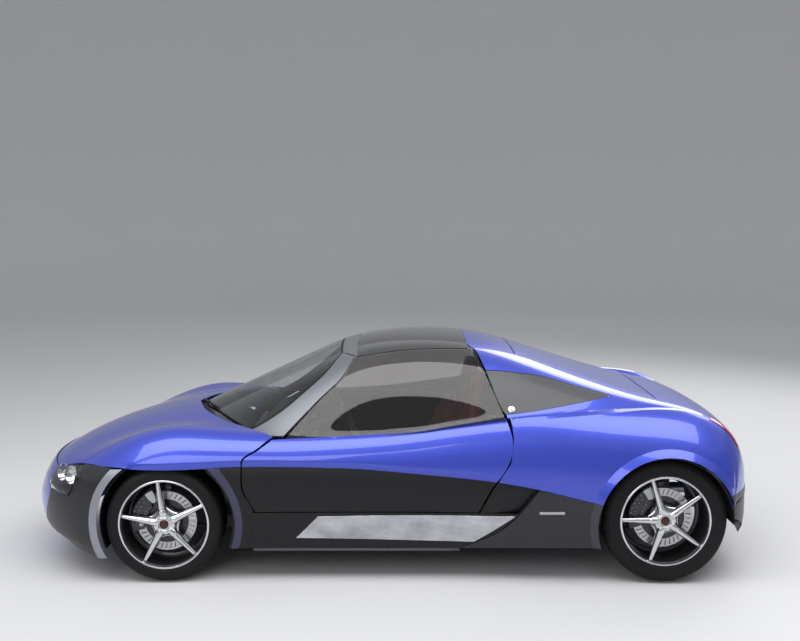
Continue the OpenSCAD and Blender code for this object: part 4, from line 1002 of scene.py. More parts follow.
def rearRows():  # nine lines from the centre to the arch, and the rows where things start
    arch, lip, middleX, middleZ = wheels["arch"], wheels["lip"], wheels["rearX"], wheels["archZ"]
    turn = lambda x: math.degrees(math.acos((middleX - x) / arch))
    start = math.degrees(math.asin((414 - middleZ) / arch))
    tip, lidEnd = turn(tail["tip"]), turn(tail["lidRear"])
    angle = np.radians(np.concatenate([np.linspace(start, tip, 12), np.linspace(tip, lidEnd, 20)[1:],
                                       np.linspace(lidEnd, 160, 26)[1:]]))
    ahead = np.linspace(tail["lidFront"], 1036, 16)
    xs = np.concatenate([ahead, middleX - arch * np.cos(angle)])
    low = atSide(cabinNet, xs, np.concatenate([splitAt(ahead), middleZ + arch * np.sin(angle)]), 6, 10)
    ringX = np.concatenate([ahead, middleX - lip * np.cos(angle)])
    ringZ = np.concatenate([splitAt(ahead) + 12, middleZ + lip * np.sin(angle)])
    ring = atSide(cabinNet, ringX, ringZ, 6, 10)
    lid = atTop(cabinNet, xs, lineAt(tail["lidHalf"], xs), 0, 4)
    short = np.minimum(xs, tail["tip"])
    top = atSide(cabinNet, short, smoothAt(lines["quarterTop"], short), 1, 5)[:, 1]
    bottom = atSide(cabinNet, short, smoothAt(lines["quarterLow"], short), 2, 5.2)[:, 1]
    fade = np.clip((xs - tail["tip"]) / 120, 0, 1)
    line = lambda v: stationsAt(cabinNet, xs, v)
    top, bottom, crest = mix(top, 2.9, fade), mix(bottom, 4.4, fade), line(np.full(len(xs), 6.0))
    middle = np.stack([line(np.zeros(len(xs))), lid, line((lid[:, 1] + top) / 2), line(top), line(bottom),
                       crest, (crest + ring) / 2, ring, low], 1)
    side = lambda x, z, lowV, highV: atSide(cabinNet, x, z, lowV, highV)
    first = np.array([[float(findU(cabinNet, 437, 0)), 0], atTop(cabinNet, 437, 385, 0, 4),
                      side(476, 1131, 1, 4), side(521, 1043, 1, 5), side(615, 836, 3, 6),
                      side(645, 730, 5, 9), side(630, 612, 6, 9), side(575, splitAt(575) + 12, 6, 10),
                      side(570, splitAt(570), 7, 10)])
    lead = np.stack([mix(first, middle[0], k / 8) for k in range(8)])
    end = middle[-1]
    last = np.stack([np.full(9, 15.0), end[:, 1] + (8 - end[8, 1]) * np.arange(9) / 8], -1)
    close = np.stack([mix(end, last, k / 16) for k in range(1, 17)])
    done = 8 + len(ahead)
    return np.concatenate([lead, middle, close]), {"quarter": done + 11, "lid": done + 30}


def widen(net, cells):  # each span of lines cut into even cells
    spans = [columnsBetween(net[:, j], net[:, j + 1], cells + 1)[:, :-1] for j in range(net.shape[1] - 1)]
    return np.concatenate(spans + [net[:, -1:]], 1)


rows, count = rearRows()
cells = tail["cells"]
half = widen(rows, cells)
mid = half.shape[1] - 1
panelPiece("tail_and_wings", cabinNet, across(half), finish["blue"], ["rear_clip"],
           shape=rearLip, holes=[(8, count["lid"], mid - cells, mid + cells),
                                 (0, count["quarter"], mid + 3 * cells, mid + 4 * cells),
                                 (0, count["quarter"], mid - 4 * cells, mid - 3 * cells)], sharp=9)
quarter = half[:count["quarter"], 3 * cells:4 * cells + 1].copy()
first, last = quarter[:, 0].copy(), quarter[:, -1].copy()
quarter[:, 0], quarter[:, -1] = mix(first, last, 0.012), mix(last, first, 0.012)
panelPiece("quarter_fillers", cabinNet, quarter, finish["quarterGrey"], ["quarter_panels"],
           pair=True)

x = np.linspace(tail["lidFront"] + tail["lidGap"], tail["lidRear"] - tail["lidGap"], 60)
edge = atTop(cabinNet, x, lineAt(tail["lidHalf"], x) - tail["lidGap"], 0, 4)[:, 1]
panelPiece("lid_over_engine", cabinNet, across(fan(cabinNet, x, edge, 16)), finish["blue"], ["engine_lid"],
           10, bodyName="engine_lid", bevel=0.002)


def tailAt(z):  # back of the tail on the centre line
    return tail["end"] - lineAt(tail["back"], z)


def tailPoint(y, z, off=0.0):
    x = sweep(tailAt(z), tail["side"], y, *body["tail"])
    return np.stack([x + off, y, z], -1)


def tailEnd(z):  # half width where the tail meets the rear wheel arch
    x = wheels["rearX"] + archHalf(z, wheels["arch"])
    k = (x - tail["side"]) / (tailAt(z) - tail["side"])
    width, square = body["tail"]
    return np.minimum(width * (1 - k**square) ** (1 / square), tail["most"])


def rearBumper():  # lower apron, open in the middle for the two pipes
    k, t = np.linspace(-1, 1, 113)[:, None], np.linspace(0, 1, 31)[None]
    top = 411.2 - np.maximum(0, np.abs(k) * 14 - 12.5) * 10
    z = mix(top, smoothAt(tail["lowEdge"], np.abs(k)), t)
    y = k * tailEnd(z)
    sheetPiece("bumper_rear", tailPoint(y, z), tailPoint(y * 0.995, z, -body["skin"]), finish["lowerGrey"],
               ["rear_bumper"], holes=[(40, 72, 20, 30)], bevel=0.0015)


rearBumper()


def bandNet():  # dark band over the bumper, from one wheel arch round to the other
    rows = []
    for z in np.linspace(tail["bandTop"], tail["bandLow"], 9):
        end = float(atSide(cabinNet, wheels["rearX"] + archHalf(z, wheels["arch"] + 1), z, 6, 10)[1])
        v = np.linspace(0, end, 60)
        lo, hi = np.full(60, 11.0), np.full(60, 15.0)
        for _ in range(20):
            at = (lo + hi) / 2
            above = surf(cabinNet, at, v)[:, 2] > z
            lo, hi = np.where(above, at, lo), np.where(above, hi, at)
        rows.append(np.stack([at, v], -1))
    return np.stack(rows)


panelPiece("bumper_band", cabinNet, across(bandNet()), finish["lowerGrey"], (), 3, False, 2.0,
           bevel=0.0005, shape=rearLip)
u = findU(cabinNet, np.linspace(*tail["strips"], 30), np.full(30, 6.0))
lampNet = np.stack([np.stack([u, np.full(30, v)], -1) for v in np.linspace(5.92, 6.1, 8)], 1)
panelPiece("tail_strips", cabinNet, lampNet, finish["lampRed"], ["tail_lamps"], 3, True, 3.5)
print("tail made")

# roof, screen and doors

roof = {"headerX": -146, "rear": 436, "headerZ": 1092, "screenX": [-760, -460, -236], "foot": (0.05, 3.7)}


def roofNet():
    x = np.linspace(roof["headerX"] + body["seam"], roof["rear"], 40)
    edge = atSide(cabinNet, np.maximum(x, -140), smoothAt(lines["glassTop"], x) + body["gap"], 1, 4)[:, 1]
    return fan(cabinNet, x, edge, 16)


panelPiece("roof_skin", cabinNet, across(roofNet()), finish["roofBlack"], ["roof_panel"])


def screenParts():  # glass with a dark border, the pillars beside it and the header over it
    corner = np.array([list(roof["foot"])] + [atSide(cabinNet, x, z, 1, 5) for x, z in lines["pillarFront"]])
    centreU = [roof["foot"][0]] + [float(findU(cabinNet, x, 0)) for x in roof["screenX"]]
    edge, centre = smoothCurve(corner, 60), smoothCurve([[u, 0] for u in centreU], 60)
    panelPiece("screen", cabinNet, across(columnsBetween(centre, edge - [0, 0.01], 31)),
               [finish["screen"], finish["trim"]], ["windscreen"], body["glass"],
               paintCell=lambda i, j: int(i < 2 or i > 57 or j < 1 or j > 58))
    behind = sideCurve(cabinNet, [[x - body["gap"] - 2, z] for x, z in lines["glassFront"]], 1, 5, 60)
    panelPiece("screen_pillars", cabinNet, columnsBetween(edge, behind, 9), finish["pillar"],
               ["windscreen_pillars"], pair=True)
    s = np.linspace(0, 0.999, 25)[:, None]
    low = mix(np.array([centreU[3], 0]), corner[3], s) + [0.002, 0]
    high = mix(np.array([float(findU(cabinNet, roof["headerX"], 0)), 0]),
               atSide(cabinNet, roof["headerX"], roof["headerZ"], 1, 5), s)
    panelPiece("screen_header", cabinNet, across(rowsBetween(low, high, 0, 1, 9)), finish["pillar"],
               ["windscreen_header"])


screenParts()


def cowlParts():  # dark gutter under the foot of the screen, and one wiper lying on the glass
    v = np.linspace(-3.9, 3.9, 61)
    front = surf(cabinNet, 0.0, v) - [26, 0, 10]
    back = surf(cabinNet, 0.16, v) - [0, 0, 11]
    grid = columnsBetween(front, back, 5)
    sheetPiece("screen_gutter", grid, grid - [0, 0, 4], finish["trim"], (), bevel=0.0)
    t = np.linspace(0, 1, 24)
    lie = lambda u, v, up: surf(cabinNet, u, v) + up * normals(cabinNet, u, v)
    arm = lie(mix(0.10, 0.42, t), mix(-0.15, -1.5, t), (16 + 6 * np.sin(np.pi * t))[:, None])
    blade = lie(mix(0.26, 0.52, t), mix(-0.4, -2.9, t), 7.0)
    foot = tube([arm[0] - [0, 0, 14], arm[0] + [0, 0, 6]], 13, 16)
    parts = [tube(arm, mix(7, 4, t), 8), tube(blade, 4.5, 8), foot]
    build("screen_wiper", parts, finish["trim"], "chassis", ())


cowlParts()


door = {
    "front": -705, "rear": 559, "foot": [[-640, 362], [0, 362], [470, 362]], "along": 80, "step": 3,
    "range": (3.6, 8),
}


def doorNet():  # blue upper part down to the colour line, then the dark part under it
    belt = [[x, z - 2] for x, z in lines["belt"]]
    edge = lambda points, count: sideCurve(frontNet, points, *door["range"], count)
    xs = np.linspace(door["front"], door["rear"], door["along"])
    top, low = edge(belt, door["along"]), edge(door["foot"], door["along"])
    seam = atSide(frontNet, xs, splitAt(xs), *door["range"])
    below = atSide(frontNet, xs, splitAt(xs) - door["step"], *door["range"])
    upFront, upRear = edge(lines["doorFront"], 31), edge(lines["doorRear"], 31)
    upFront[0], upFront[-1], upRear[0], upRear[-1] = top[0], seam[0], top[-1], seam[-1]
    loFront, loRear = edge(lines["doorFrontLow"], 20), edge(lines["doorRearLow"], 20)
    loFront[0], loFront[-1], loRear[0], loRear[-1] = below[0], low[0], below[-1], low[-1]
    places = np.concatenate([np.linspace(0, 0.72, 18), np.linspace(0.72, 1, 14)[1:]])
    upper = resample(coons(upFront, upRear, top, seam), places)
    return np.concatenate([upper, coons(loFront, loRear, below, low)], 1), upper.shape[1] - 1


doorUv, doorSplit = doorNet()
doorOuter = tuck(surf(frontNet, doorUv[..., 0], doorUv[..., 1]))
drop = np.linspace(1, 0, doorOuter.shape[1])[None, :, None]
doorInner = doorOuter + body["doorDepth"] * (np.array([0, -0.85, 0]) + drop * [0, 0, -0.5])


def glassNet():
    front = sideCurve(cabinNet, [[-504, 707]] + lines["glassFront"][1:], 1, 6, 30)[::-1]
    rear = sideCurve(cabinNet, [[609, 817]] + lines["glassRear"][1:], 1, 6, 30)[::-1]
    top = sideCurve(cabinNet, lines["glassTop"], 1, 4, 50)
    xs = np.linspace(-504, 609, 50)
    low = atSide(cabinNet, xs, smoothAt(lines["belt"], xs) - 12, 3, 6)
    top[0], top[-1], low[0], low[-1] = front[0], rear[0], front[-1], rear[-1]
    return coons(front, rear, top, low)


glassUv = glassNet()
glassOuter, glassInner = skinOf(cabinNet, glassUv, body["glass"])
for side, flip in (("left", True), ("right", False)):
    verts, faces, cellsOf = sheetPart(doorOuter, doorInner, (), flip)
    n = len(verts) // 2
    # the lower part of each door takes the darker copy of the lower grey, painted shade; the inner faces take
    # the black trim
    colour = [2 if max(f) >= n else int(cell[1] >= doorSplit) for f, cell in zip(faces, cellsOf)]
    build(side + "_door_shell", [(verts, faces, colour)],
          [finish["blue"], finish["lowerGreyPaintedShade"], finish["trim"]], side + "_door", [side + "_door"],
          0.0012)
    sheetPiece(side + "_window", glassOuter, glassInner, finish["sideGlass"], [side + "_door_glass"],
               False, (), 0.001, side + "_door", flips=(flip,))
print("roof, screen and doors made")

# wheels, about the axle with the outer face at zero and inwards positive

corners = {
    "front_left": {"x": -1103, "face": 836, "radius": 293, "width": 205, "left": True, "spin": 8},
    "front_right": {"x": -1103, "face": 836, "radius": 293, "width": 205, "left": False, "spin": 0},
    "rear_left": {"x": 1407, "face": 846, "radius": 313, "width": 225, "left": True, "spin": 17.5},
    "rear_right": {"x": 1407, "face": 846, "radius": 313, "width": 225, "left": False, "spin": 0},
}
wheelSizes = {
    "rim": 228, "disc": 152, "bore": 30.4, "boltRing": 47,
    "spokes": 5, "blocks": 66, "bolts": 10, "slots": 36, "vanes": 40,
    "starOut": 128, "starCut": 74, "starAt": 146,  # hub plate: radius, and the round cuts between its arms
}


def spun(part, degrees):
    v, f, m = part
    a = math.radians(degrees)
    c, s = math.cos(a), math.sin(a)
    return np.stack([v[:, 0] * c - v[:, 2] * s, v[:, 1], v[:, 0] * s + v[:, 2] * c], -1), f, m


def placed(parts, corner):
    turn = 1 if corner["left"] else -1
    at = [corner["x"], -turn * corner["face"], corner["radius"]]
    return [(v * [turn, turn, 1] + at, f, m) for v, f, m in parts]


def tyreParts(r, w):
    rim = wheelSizes["rim"]
    half = [(rim - 10.6, 14.5), (rim + 0.6, 11), (rim + 0.6, 4.6), (rim + 4, 3.4), (rim + 9, 2.8),
            (rim + 11, 1.7), (rim + 16, 1.3), (rim + 18, 2.2), (rim + 26, 0.9), (rim + 28, 0.2),
            (r - 29, 2.2), (r - 27.5, 3.8), (r - 20, 5.8), (r - 13.5, 10.8), (r - 8.5, 17), (r - 7.5, 34)]
    parts = [turned(half + [(a, w - b) for a, b in half[::-1]], 0, 144)]
    count, low = wheelSizes["blocks"], r - 11
    top = math.sqrt(r**2 - 13**2) - 0.2
    edges = [(15, 33, top - 8.0, top - 0.4), (36, w / 2 - 24, top, top), (w / 2 - 20, w / 2 + 20, top, top)]
    for k, (a, b, za, zb) in enumerate(edges + [(w - q, w - p, zq, zp) for p, q, zp, zq in edges[:2]]):
        lean = 5 if k % 2 else -5
        ring = lambda y, z, off: [[-12 + off, y, low], [12 + off, y, low], [10.5 + off, y, z],
                                  [-10.5 + off, y, z]]
        bar = loft([ring(a, za, -lean), ring((a + b) / 2, (za + zb) / 2, 0), ring(b, zb, lean)])
        parts.append(ringOf(spun(bar, 180 / count * (k % 2)), count))
    return parts


def rimParts(w):
    rim, n = wheelSizes["rim"], wheelSizes["spokes"]
    hoop = [(rim - 0.4, 10), (rim - 0.2, 4.6), (rim - 2, 3.2), (rim - 6, 2.8), (rim - 9, 4), (rim - 10.5, 8),
            (rim - 11.5, 15), (rim - 14, 17), (rim - 20, 60), (rim - 20, w - 62), (rim - 36, w - 60),
            (rim - 39, w - 57), (rim - 39, w - 53), (rim - 20, w - 48), (rim - 15, w - 7), (rim - 2, w - 5),
            (rim - 0.4, w - 10), (rim - 11, w - 13), (rim - 11, 13)]
    parts = [turned(hoop, [0] * 5 + [1] * 5 + [0] * 2 + [1] * 7, 144)]
    spoke = [(0, 34), (18, 34), (21, 37), (22, 41), (22, 68), (21, 72), (19.6, 74), (19.4, 80), (15.4, 140),
             (12.2, rim - 30), (11.6, rim - 13), (0, rim - 13)]
    v, f, m = turned(spoke, 0, 32)
    parts.append(ringOf((np.stack([v[:, 0], v[:, 2] + 29, v[:, 1]], -1), f, m), n))
    steps, out, cut, at = 240, wheelSizes["starOut"], wheelSizes["starCut"], wheelSizes["starAt"]
    a = np.linspace(0, 2 * np.pi, steps, endpoint=False)
    off = (a - np.pi / 2) % (2 * np.pi / n) - np.pi / n
    inside = np.maximum(cut**2 - (at * np.sin(off)) ** 2, 0)
    star = np.where(np.abs(at * np.sin(off)) < cut, np.minimum(out, at * np.cos(off) - np.sqrt(inside)), out)
    circle = lambda r, y: np.stack([r * np.cos(a), np.full(steps, float(y)), r * np.sin(a)], -1)
    rings = [circle(50, 36), circle(star - 9, 36), circle(star - 7.5, 36.4), circle(star - 1, 41),
             circle(star, 43), circle(star, 50), circle(50, 50)]
    v, f, _ = loft(rings, 0, False)
    parts.append(joinEnds((v, f, [2 if i < steps else 0 for i in range(len(f))]), steps))
    bore = wheelSizes["bore"]
    parts.append(turned([(bore, 50), (54, 50), (54, 24), (52, 19), (46, 17.5), (40, 17.5), (39, 10),
                         (36, 7.5), (31, 7.5), (28, 10), (27, 15), (0, 15), (0, 19.4), (bore, 19.4)], 0, 72))
    parts.append(turned([(0, 9.5), (12, 10), (20, 11.4), (23.5, 13.6), (23.5, 15.5), (0, 15.5)], 3, 48))
    bolt = turned([(0, 12.6), (2.6, 12.8), (3.6, 14), (3.6, 18), (0, 18)], 0, 12)
    parts.append(ringOf(moved(bolt, [wheelSizes["boltRing"], 0, 0]), wheelSizes["bolts"]))
    return parts


def discParts():
    r, bore, n = wheelSizes["disc"], wheelSizes["bore"], wheelSizes["slots"]
    hat = turned([(bore, 50.6), (72, 50.6), (77, 53), (78, 57), (80, 81), (114, 82), (114, 104), (70, 104),
                  (70, 62), (bore, 62)], 1, 96)
    lanes = 12
    lane, steps = np.arange(lanes)[None], n * lanes
    k = np.arange(steps)[:, None]
    radii = np.linspace(112, r, lanes)
    groove = (((k + lane * 0.5) % lanes) < 1.6) & (lane > 1) & (lane < lanes - 2)  # slanted slots in the face
    a = k * 2 * np.pi / steps
    front = np.stack([radii * np.cos(a), 80 + 1.6 * groove, radii * np.sin(a)], -1)
    back = np.stack([radii * np.cos(a), np.full(groove.shape, 90.0), radii * np.sin(a)], -1)
    v, f, _ = loft(np.concatenate([front, back[:, ::-1]], 1), 0, False)
    # the slot floors take the dark barrel metal: painted shade in the slots
    dark = lambda i, j: int(j < lanes - 1 and groove[i, j] and groove[i, j + 1])
    ring = 2 * lanes
    face = joinEnds((v, f, [dark(i // ring, i % ring) for i in range(len(f))]), ring)
    rear = turned([(112, 96), (r, 96), (r, 106), (112, 106)], 0, 96)
    vane = block((-1.6, 89, 113), (1.6, 97, r - 3))
    return [hat, face, rear, ringOf(vane, wheelSizes["vanes"])]


def uprightParts(turn):  # hub pin, upright, steering pins and a dark caliper with a bright end, over the disc
    pin = [(0, 20), (29.9, 20), (29.9, 112), (60, 112), (60, 172), (0, 172)]
    parts = [turned(pin, 0, 64), block((-35, 122, -120), (35, 167, 120)),
             block((-16, 130, 100), (16, 160, 170)), block((-16, 130, -170), (16, 160, -100))]
    around = lambda r, y, a: np.stack([r * math.cos(a), y, r * math.sin(a)], -1)
    shape = np.array([(96, 60), (174, 60), (182, 68), (182, 120), (174, 128), (96, 128), (96, 112),
                      (158, 112), (158, 74), (96, 74)], float)
    for low, high, mark, grow in ((128, 198, 1, 0), (112, 127, 2, 2)):
        rings = []
        for t in np.linspace(low, high, 21):
            p = shape.copy()
            edge = min(t - low, high - t)
            p[:, 0] = np.where(p[:, 0] < 140, p[:, 0] + 26 * math.exp(-edge / 3) + 14 * (mark - 1), p[:, 0])
            p[:2, 1] -= grow
            rings.append(around(p[:, 0], p[:, 1], math.radians(t)))
        parts.append(loft(rings, mark))
    stud = turned([(0, 56.6), (2, 56.8), (2.8, 58), (2.8, 61), (0, 61)], 2, 10)
    for r, start in ((166, 134), (146, 138), (112, 142)):
        row = repeated(moved(stud, [r, 0, 0]), 6, turn=(0, -math.radians(9), 0), mark=2)
        parts.append(spun(row, start))
    boss = turned([(0, 55), (9, 55), (11.5, 57), (11.5, 61), (0, 61)], 2, 28)
    parts.append(moved(boss, around(126, 0, math.radians(186))))
    arm = [around(r, y, math.radians(160)) for r, y in ((75, 145), (120, 136), (150, 124))]
    parts.append(tube(arm, 18, 12, 0))
    return [(v * [turn, 1, 1], f, m) for v, f, m in parts]


alloy = [finish["cast"], finish["barrel"], finish["caliper"]]
for name, corner in corners.items():
    wheel = name + "_wheel"
    tyre = tyreParts(corner["radius"], corner["width"])
    rim = [spun(part, corner["spin"]) for part in rimParts(corner["width"])]
    build(name + "_tread", placed(tyre, corner), finish["rubber"], wheel, [name + "_tyre"])
    build(name + "_spokes", placed(rim, corner),
          [finish["rim"], finish["barrel"], finish["cast"], finish["capRed"]], wheel, [name + "_rim"])
    build(name + "_brake", placed(discParts(), corner), [finish["disc"], finish["barrel"]], wheel,
          [name + "_disc"], smooth=False)
for side, turn in (("left", 1), ("right", -1)):
    build(side + "_upright", placed(uprightParts(turn), corners["front_" + side]), alloy, side + "_knuckle",
          ["front_" + side + "_knuckle"], 0.001, 40)
parts = placed(uprightParts(1), corners["rear_left"]) + placed(uprightParts(-1), corners["rear_right"])
build("rear_hubs", parts, alloy, "chassis", ["rear_uprights"], 0.001, 40)
print("wheels made")

# interior

cabin = {
    "seatX": 130, "seatY": 330, "seatZ": 160, "voxel": 0.0115, "pressure": 4.0, "most": 0.024, "frames": 20,
    # along, up, half thickness and half width of each section
    "cushion": [(-150, 92, 62, 200), (-100, 90, 70, 208), (0, 76, 66, 210), (120, 70, 66, 210),
                (200, 84, 66, 208), (262, 100, 60, 200)],
    "back": [(232, 110, 55, 200), (262, 260, 52, 208), (296, 420, 50, 206), (330, 560, 46, 190),
             (350, 640, 40, 165), (368, 720, 40, 128), (382, 790, 38, 118), (388, 826, 30, 104)],
    "backSide": [(160, 230, 52, 34), (190, 330, 66, 34), (226, 470, 56, 34), (276, 560, 26, 34)],
    "cushionSide": [(-120, 130, 34, 36), (-20, 140, 48, 36), (90, 138, 54, 36), (190, 150, 50, 36)],
    "sideAt": 168, "seamAt": 118,
    "dash": [[-716, 505], [-716, 600], [-712, 640], [-676, 682], [-620, 694], [-556, 702], [-480, 698],
             [-453, 690], [-452, 660], [-456, 640], [-482, 600], [-502, 540], [-560, 503], [-630, 484],
             [-716, 505]],
    "dashHalf": 598, "dials": 3, "dialStep": 92, "vents": 9, "ventStep": 13, "trimY": 608,
    "wheelAt": (-224.7, -350, 768.2), "tilt": 65, "wheelR": 165, "arms": 3,
}


def section(x, y, z, half, along, up, power):  # closed rounded section of a seat
    a = np.linspace(0, 2 * np.pi, 40, endpoint=False)
    c, s = np.cos(a), np.sin(a)
    k = (np.abs(c) ** power + np.abs(s) ** power) ** (-1 / power)
    return np.stack([x + half[0] * k * s * along, y + half[1] * k * c, z + half[0] * k * s * up], -1)


def seatShape():  # cushion, back and head rest, and the raised sides, before padding
    row = lambda key, y, along, up, power: loft([section(x, y, z, (thick, wide), along, up, power)
                                                 for x, z, thick, wide in cabin[key]])
    parts = [row("cushion", 0, 0, 1, 5.0), row("back", 0, 1, -0.22, 5.0)]
    for y in (-cabin["sideAt"], cabin["sideAt"]):
        parts += [row("backSide", y, 1, -0.2, 3.0), row("cushionSide", y, 0, 1, 3.0)]
    return parts


def padOut(thing):  # air pressure fills the panels between the seams, with the movement held to a limit
    start = np.empty(len(thing.data.vertices) * 3)
    thing.data.vertices.foreach_get("co", start)
    start = start.reshape(-1, 3)
    y = np.abs(np.abs(start[:, 1]) - cabin["seatY"] * 0.001)
    along = start[:, 2] - 0.35
    cross = np.abs((along % 0.14) - 0.07) < 0.008
    seam = cabin["seamAt"] * 0.001
    pinned = (np.abs(y - seam) < 0.008) | (cross & (y < seam) & (along > 0.02)) | (start[:, 2] < 0.20)
    group = thing.vertex_groups.new(name="seams")
    group.add([int(i) for i in np.flatnonzero(pinned)], 1.0, "REPLACE")
    cloth = thing.modifiers.new("air", "CLOTH")
    cloth.settings.use_pressure = True
    cloth.settings.uniform_pressure_force = cabin["pressure"]
    cloth.settings.effector_weights.gravity = 0.0
    cloth.settings.vertex_group_mass = "seams"
    cloth.settings.quality = 5
    scene = bpy.context.scene
    for frameNumber in range(1, cabin["frames"] + 1):
        scene.frame_set(frameNumber)
    flat = applied(thing)
    end = np.empty(len(flat.vertices) * 3)
    flat.vertices.foreach_get("co", end)
    move = end.reshape(-1, 3) - start
    size = np.linalg.norm(move, axis=1, keepdims=True)
    move *= np.minimum(1, cabin["most"] / np.maximum(size, 1e-9))
    thing.modifiers.remove(cloth)
    thing.data.vertices.foreach_set("co", (start + move).ravel())
    thing.data.update()
    bpy.data.meshes.remove(flat)
    scene.frame_set(1)


def meshOf(thing):
    v = np.empty(len(thing.data.vertices) * 3)
    thing.data.vertices.foreach_get("co", v)
    return v.reshape(-1, 3), [tuple(f.vertices) for f in thing.data.polygons]


def seatPieces():
    at = np.array([cabin["seatX"], -cabin["seatY"], cabin["seatZ"] + 2])
    verts, faces, _ = joinParts([moved(part, at) for part in seatShape()])
    mesh = bpy.data.meshes.new("seatPad")
    mesh.from_pydata([tuple(p) for p in verts * 0.001], [], faces)
    thing = bpy.data.objects.new("seatPad", mesh)
    bpy.context.scene.collection.objects.link(thing)
    bpy.context.view_layer.objects.active = thing
    remesh = thing.modifiers.new("even", "REMESH")
    remesh.mode = "VOXEL"
    remesh.voxel_size = cabin["voxel"]
    soften = thing.modifiers.new("soften", "SMOOTH")
    soften.iterations = 6
    even = applied(thing)
    thing.modifiers.clear()
    thing.data = even
    padOut(thing)
    rounder = thing.modifiers.new("rounder", "SUBSURF")
    rounder.levels = rounder.render_levels = 1
    thing.data = applied(thing)
    thing.modifiers.clear()
    v, f = meshOf(thing)
    bpy.data.objects.remove(thing)
    verts, faces, _ = joinParts(bothSides([(v, f, [0] * len(f))]))
    seats = newPiece("seat_pads", verts, faces, finish["leather"], "chassis", ["seats"])
    tree = BVHTree.FromPolygons([tuple(p) for p in v], f)
    piping = []
    for off in (-cabin["seamAt"], cabin["seamAt"]):
        path = []
        for z in np.linspace(0.36, 0.86, 40):
            y = (-cabin["seatY"] + off * (1 if z < 0.72 else 0.8)) * 0.001
            hit = tree.ray_cast(Vector((-0.6, y, z)), Vector((1, 0, 0)))[0]
            if hit is not None:
                path.append((hit.x - 0.0005, hit.y, hit.z))
        if len(path) > 4:
            piping.append(tube(np.array(path) * 1000, 2.4, 6))
    build("seat_seams", bothSides(piping), finish["grip"], "chassis", ())


seatPieces()


def dashParts():  # padded top with a hood over three dials, and a row of vents
    outline = smoothCurve(cabin["dash"], 64)[:-1]
    x, z = outline.T
    driver, half = cabin["wheelAt"][1], cabin["dashHalf"]
    rise = np.clip((z - 640) / 60, 0, 1) * np.clip((x + 640) / 120, 0, 1)
    hood = lambda y: 46 * math.exp(-(((y - driver) / 150) ** 4)) * rise
    parts = [loft([np.stack([x, np.full(len(x), y), z + hood(y)], -1) for y in np.linspace(-half, half, 80)])]
    for k in range(cabin["dials"]):
        v, f, m = turned([(0, 0), (34, 0), (37, -4), (40, -4), (41, 0), (41, 8), (0, 8)], 1, 40)
        at = [-452, driver + cabin["dialStep"] * (k - 1), 664 + 8 * (k == 1)]
        parts.append((v[:, [1, 0, 2]] * [-1, 1, 1] + at, f, m))
    vent = moved(block((-462, 0, 648), (-446, 5, 684), 1), [0, 60, 0])
    parts.append(repeated(vent, cabin["vents"], (0, cabin["ventStep"], 0), mark=1))
    build("dash_top", parts, [finish["dash"], finish["trim"]], "chassis", ["dashboard"])


dashParts()
walls = [block((-790, y - 2, 300), (-560, y + 2, 690)) for y in (-cabin["trimY"], cabin["trimY"])]
build("footwell_trims", walls, finish["trim"], "chassis", ())


def steeringParts():
    tilt = math.radians(cabin["tilt"])
    axis = np.array([math.sin(tilt), 0, math.cos(tilt)])
    up = np.array([-math.cos(tilt), 0, math.sin(tilt)])
    a = np.linspace(0, 2 * np.pi, 20, endpoint=False)
    rim = turned(np.stack([cabin["wheelR"] + 13 * np.cos(a), 13 * np.sin(a)], -1), 0, 72)
    hub = turned([(0, 13), (22, 12), (36, 8), (40, 2), (40, -11.5), (0, -11.5)], 0, 40)
    arm = loft([[[-w, -t, r], [w, -t, r], [w, t, r], [-w, t, r]]
                for r, w, t in ((32, 20, 5), (70, 14, 4.5), (120, 12, 4.5), (160, 17, 6))], 1)
    parts = [rim, hub, spun(ringOf(arm, cabin["arms"], 1), 180)]
    at = np.array(cabin["wheelAt"])
    parts = [(v[:, :1] * [0, 1, 0] + v[:, 1:2] * axis + v[:, 2:] * up + at, f, m) for v, f, m in parts]
    build("wheel_grip", parts, [finish["grip"], finish["steel"]], "steering_wheel", ["steering_wheel"],
          0.001, 40)


steeringParts()


filler = {"x": 642, "z": 862, "bolts": 8, "boltRing": 14.4}


def fillerCap():
    low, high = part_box("fuel_cap")
    side = 1 if low[1] + high[1] > 0 else -1
    uv = atSide(cabinNet, filler["x"], filler["z"], 3, 6)
    n = normals(cabinNet, uv[0], uv[1]) * [1, side, 1]
    foot = surf(cabinNet, uv[0], uv[1]) * [1, side, 1]
    first = np.cross(n, [0, 0, 1])
    first /= np.linalg.norm(first)
    second = np.cross(n, first)
    cap = [turned([(0, 5.5), (10, 5.2), (12, 4), (12.4, 3), (14.5, 3), (16.6, 2), (17, 0), (17, -4), (0, -4)],
                  0, 48)]
    bolt = turned([(0, 4.6), (1.3, 4.4), (1.5, 3.8), (1.5, 2), (0, 2)], 0, 10)
    cap.append(ringOf(moved(bolt, [filler["boltRing"], 0, 0]), filler["bolts"]))
    parts = [(v[:, :1] * first + v[:, 1:2] * n + v[:, 2:] * second + foot, f, m) for v, f, m in cap]
    build("filler_cap", parts, finish["chrome"], "chassis", ["fuel_cap"])


fillerCap()
print("interior made")

# nodes that stay, with their finishes

stays = {
    "tub": "tub", "engine": "cast", "exhaust": "steel", "steering_column": "trim", "front_wishbones": "steel",
    "rear_wishbones": "steel", "front_arch_liners": "trim", "rear_arch_liners": "trim",
    "left_door_hinges": "steel", "right_door_hinges": "steel", "door_hinge_pins": "steel",
    "lid_hinge_arms": "steel", "lid_hinge_shaft": "steel",
}
for node, key in stays.items():
    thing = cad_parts[node]
    thing.data.materials.clear()
    thing.data.materials.append(finish[key])
print("kept nodes finished:", len(stays))

# floor, light and camera

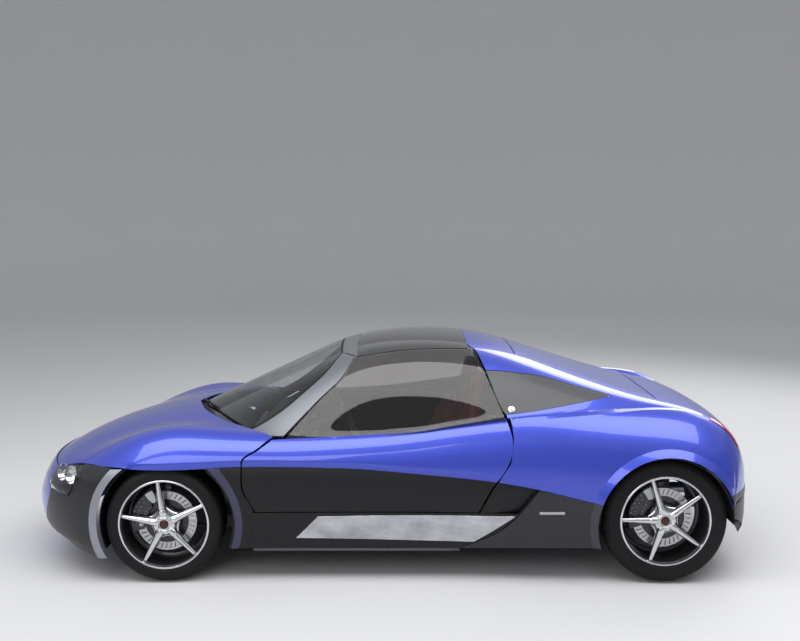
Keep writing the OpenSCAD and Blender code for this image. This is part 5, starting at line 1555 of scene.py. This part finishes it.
stage = {
    "floor": (0.62, 0.62, 0.63), "world": 0.55, "camera": (0.08, -5.85, 1.84), "pitch": 5.9, "lens": 46.35,
    "bowl": [(0, 0), (13, 0), (16, 0.2), (18, 1.0), (19.2, 2.6), (19.8, 5), (20, 9)],
    "lamps": {  # place, aim, size, power
        "overhead": ((0, -2.4, 5.4), (0, -0.2, 0.3), (11, 3.6), 420),
        "sideFill": ((-4.0, -9.0, 4.6), (0, 0, 0.5), (7, 3.5), 220),
        "rearFill": ((4.5, 5.0, 4.6), (0, 0, 0.5), (6, 3.5), 200),
    },
}


def studio():
    profile = smoothCurve(stage["bowl"], 40)
    v, f, _ = turned(profile, 0, 96, False)
    mesh = bpy.data.meshes.new("floor")
    mesh.from_pydata([(x, -z, y) for x, y, z in v], [], f)
    floor = bpy.data.objects.new("floor", mesh)
    bpy.context.scene.collection.objects.link(floor)
    for face in mesh.polygons:
        face.use_smooth = True
    mat, nodes, links, shader = newMaterial("floorPale")
    grain = noiseAt(nodes, links, mapped(nodes, links), 180, 5.0)
    pale = stage["floor"]
    dim = tuple(c * 0.94 for c in pale)
    links.new(ramp(nodes, links, grain, [(0.3, dim), (0.7, pale)]), shader.inputs["Base Color"])
    shader.inputs["Roughness"].default_value = 0.8
    mesh.materials.append(mat)
    world = bpy.data.worlds.new("studio")
    bpy.context.scene.world = world
    world.use_nodes = True
    back = world.node_tree.nodes["Background"]
    back.inputs["Color"].default_value = (0.9, 0.92, 0.95, 1)
    back.inputs["Strength"].default_value = stage["world"]
    for name, (place, aim, size, power) in stage["lamps"].items():
        lamp = bpy.data.lights.new(name, "AREA")
        lamp.shape = "RECTANGLE"
        lamp.size, lamp.size_y = size
        lamp.energy = power
        thing = bpy.data.objects.new(name, lamp)
        thing.location = place
        thing.rotation_euler = (Vector(aim) - Vector(place)).to_track_quat("-Z", "Y").to_euler()
        bpy.context.scene.collection.objects.link(thing)
    lens = bpy.data.cameras.new("photoCamera")
    lens.sensor_width = 36
    lens.lens = stage["lens"]
    camera = bpy.data.objects.new("photoCamera", lens)
    camera.location = stage["camera"]
    camera.rotation_euler = (math.radians(90 - stage["pitch"]), 0, 0)
    bpy.context.scene.collection.objects.link(camera)
    bpy.context.scene.camera = camera
    bpy.context.scene.view_settings.view_transform = "Standard"


studio()
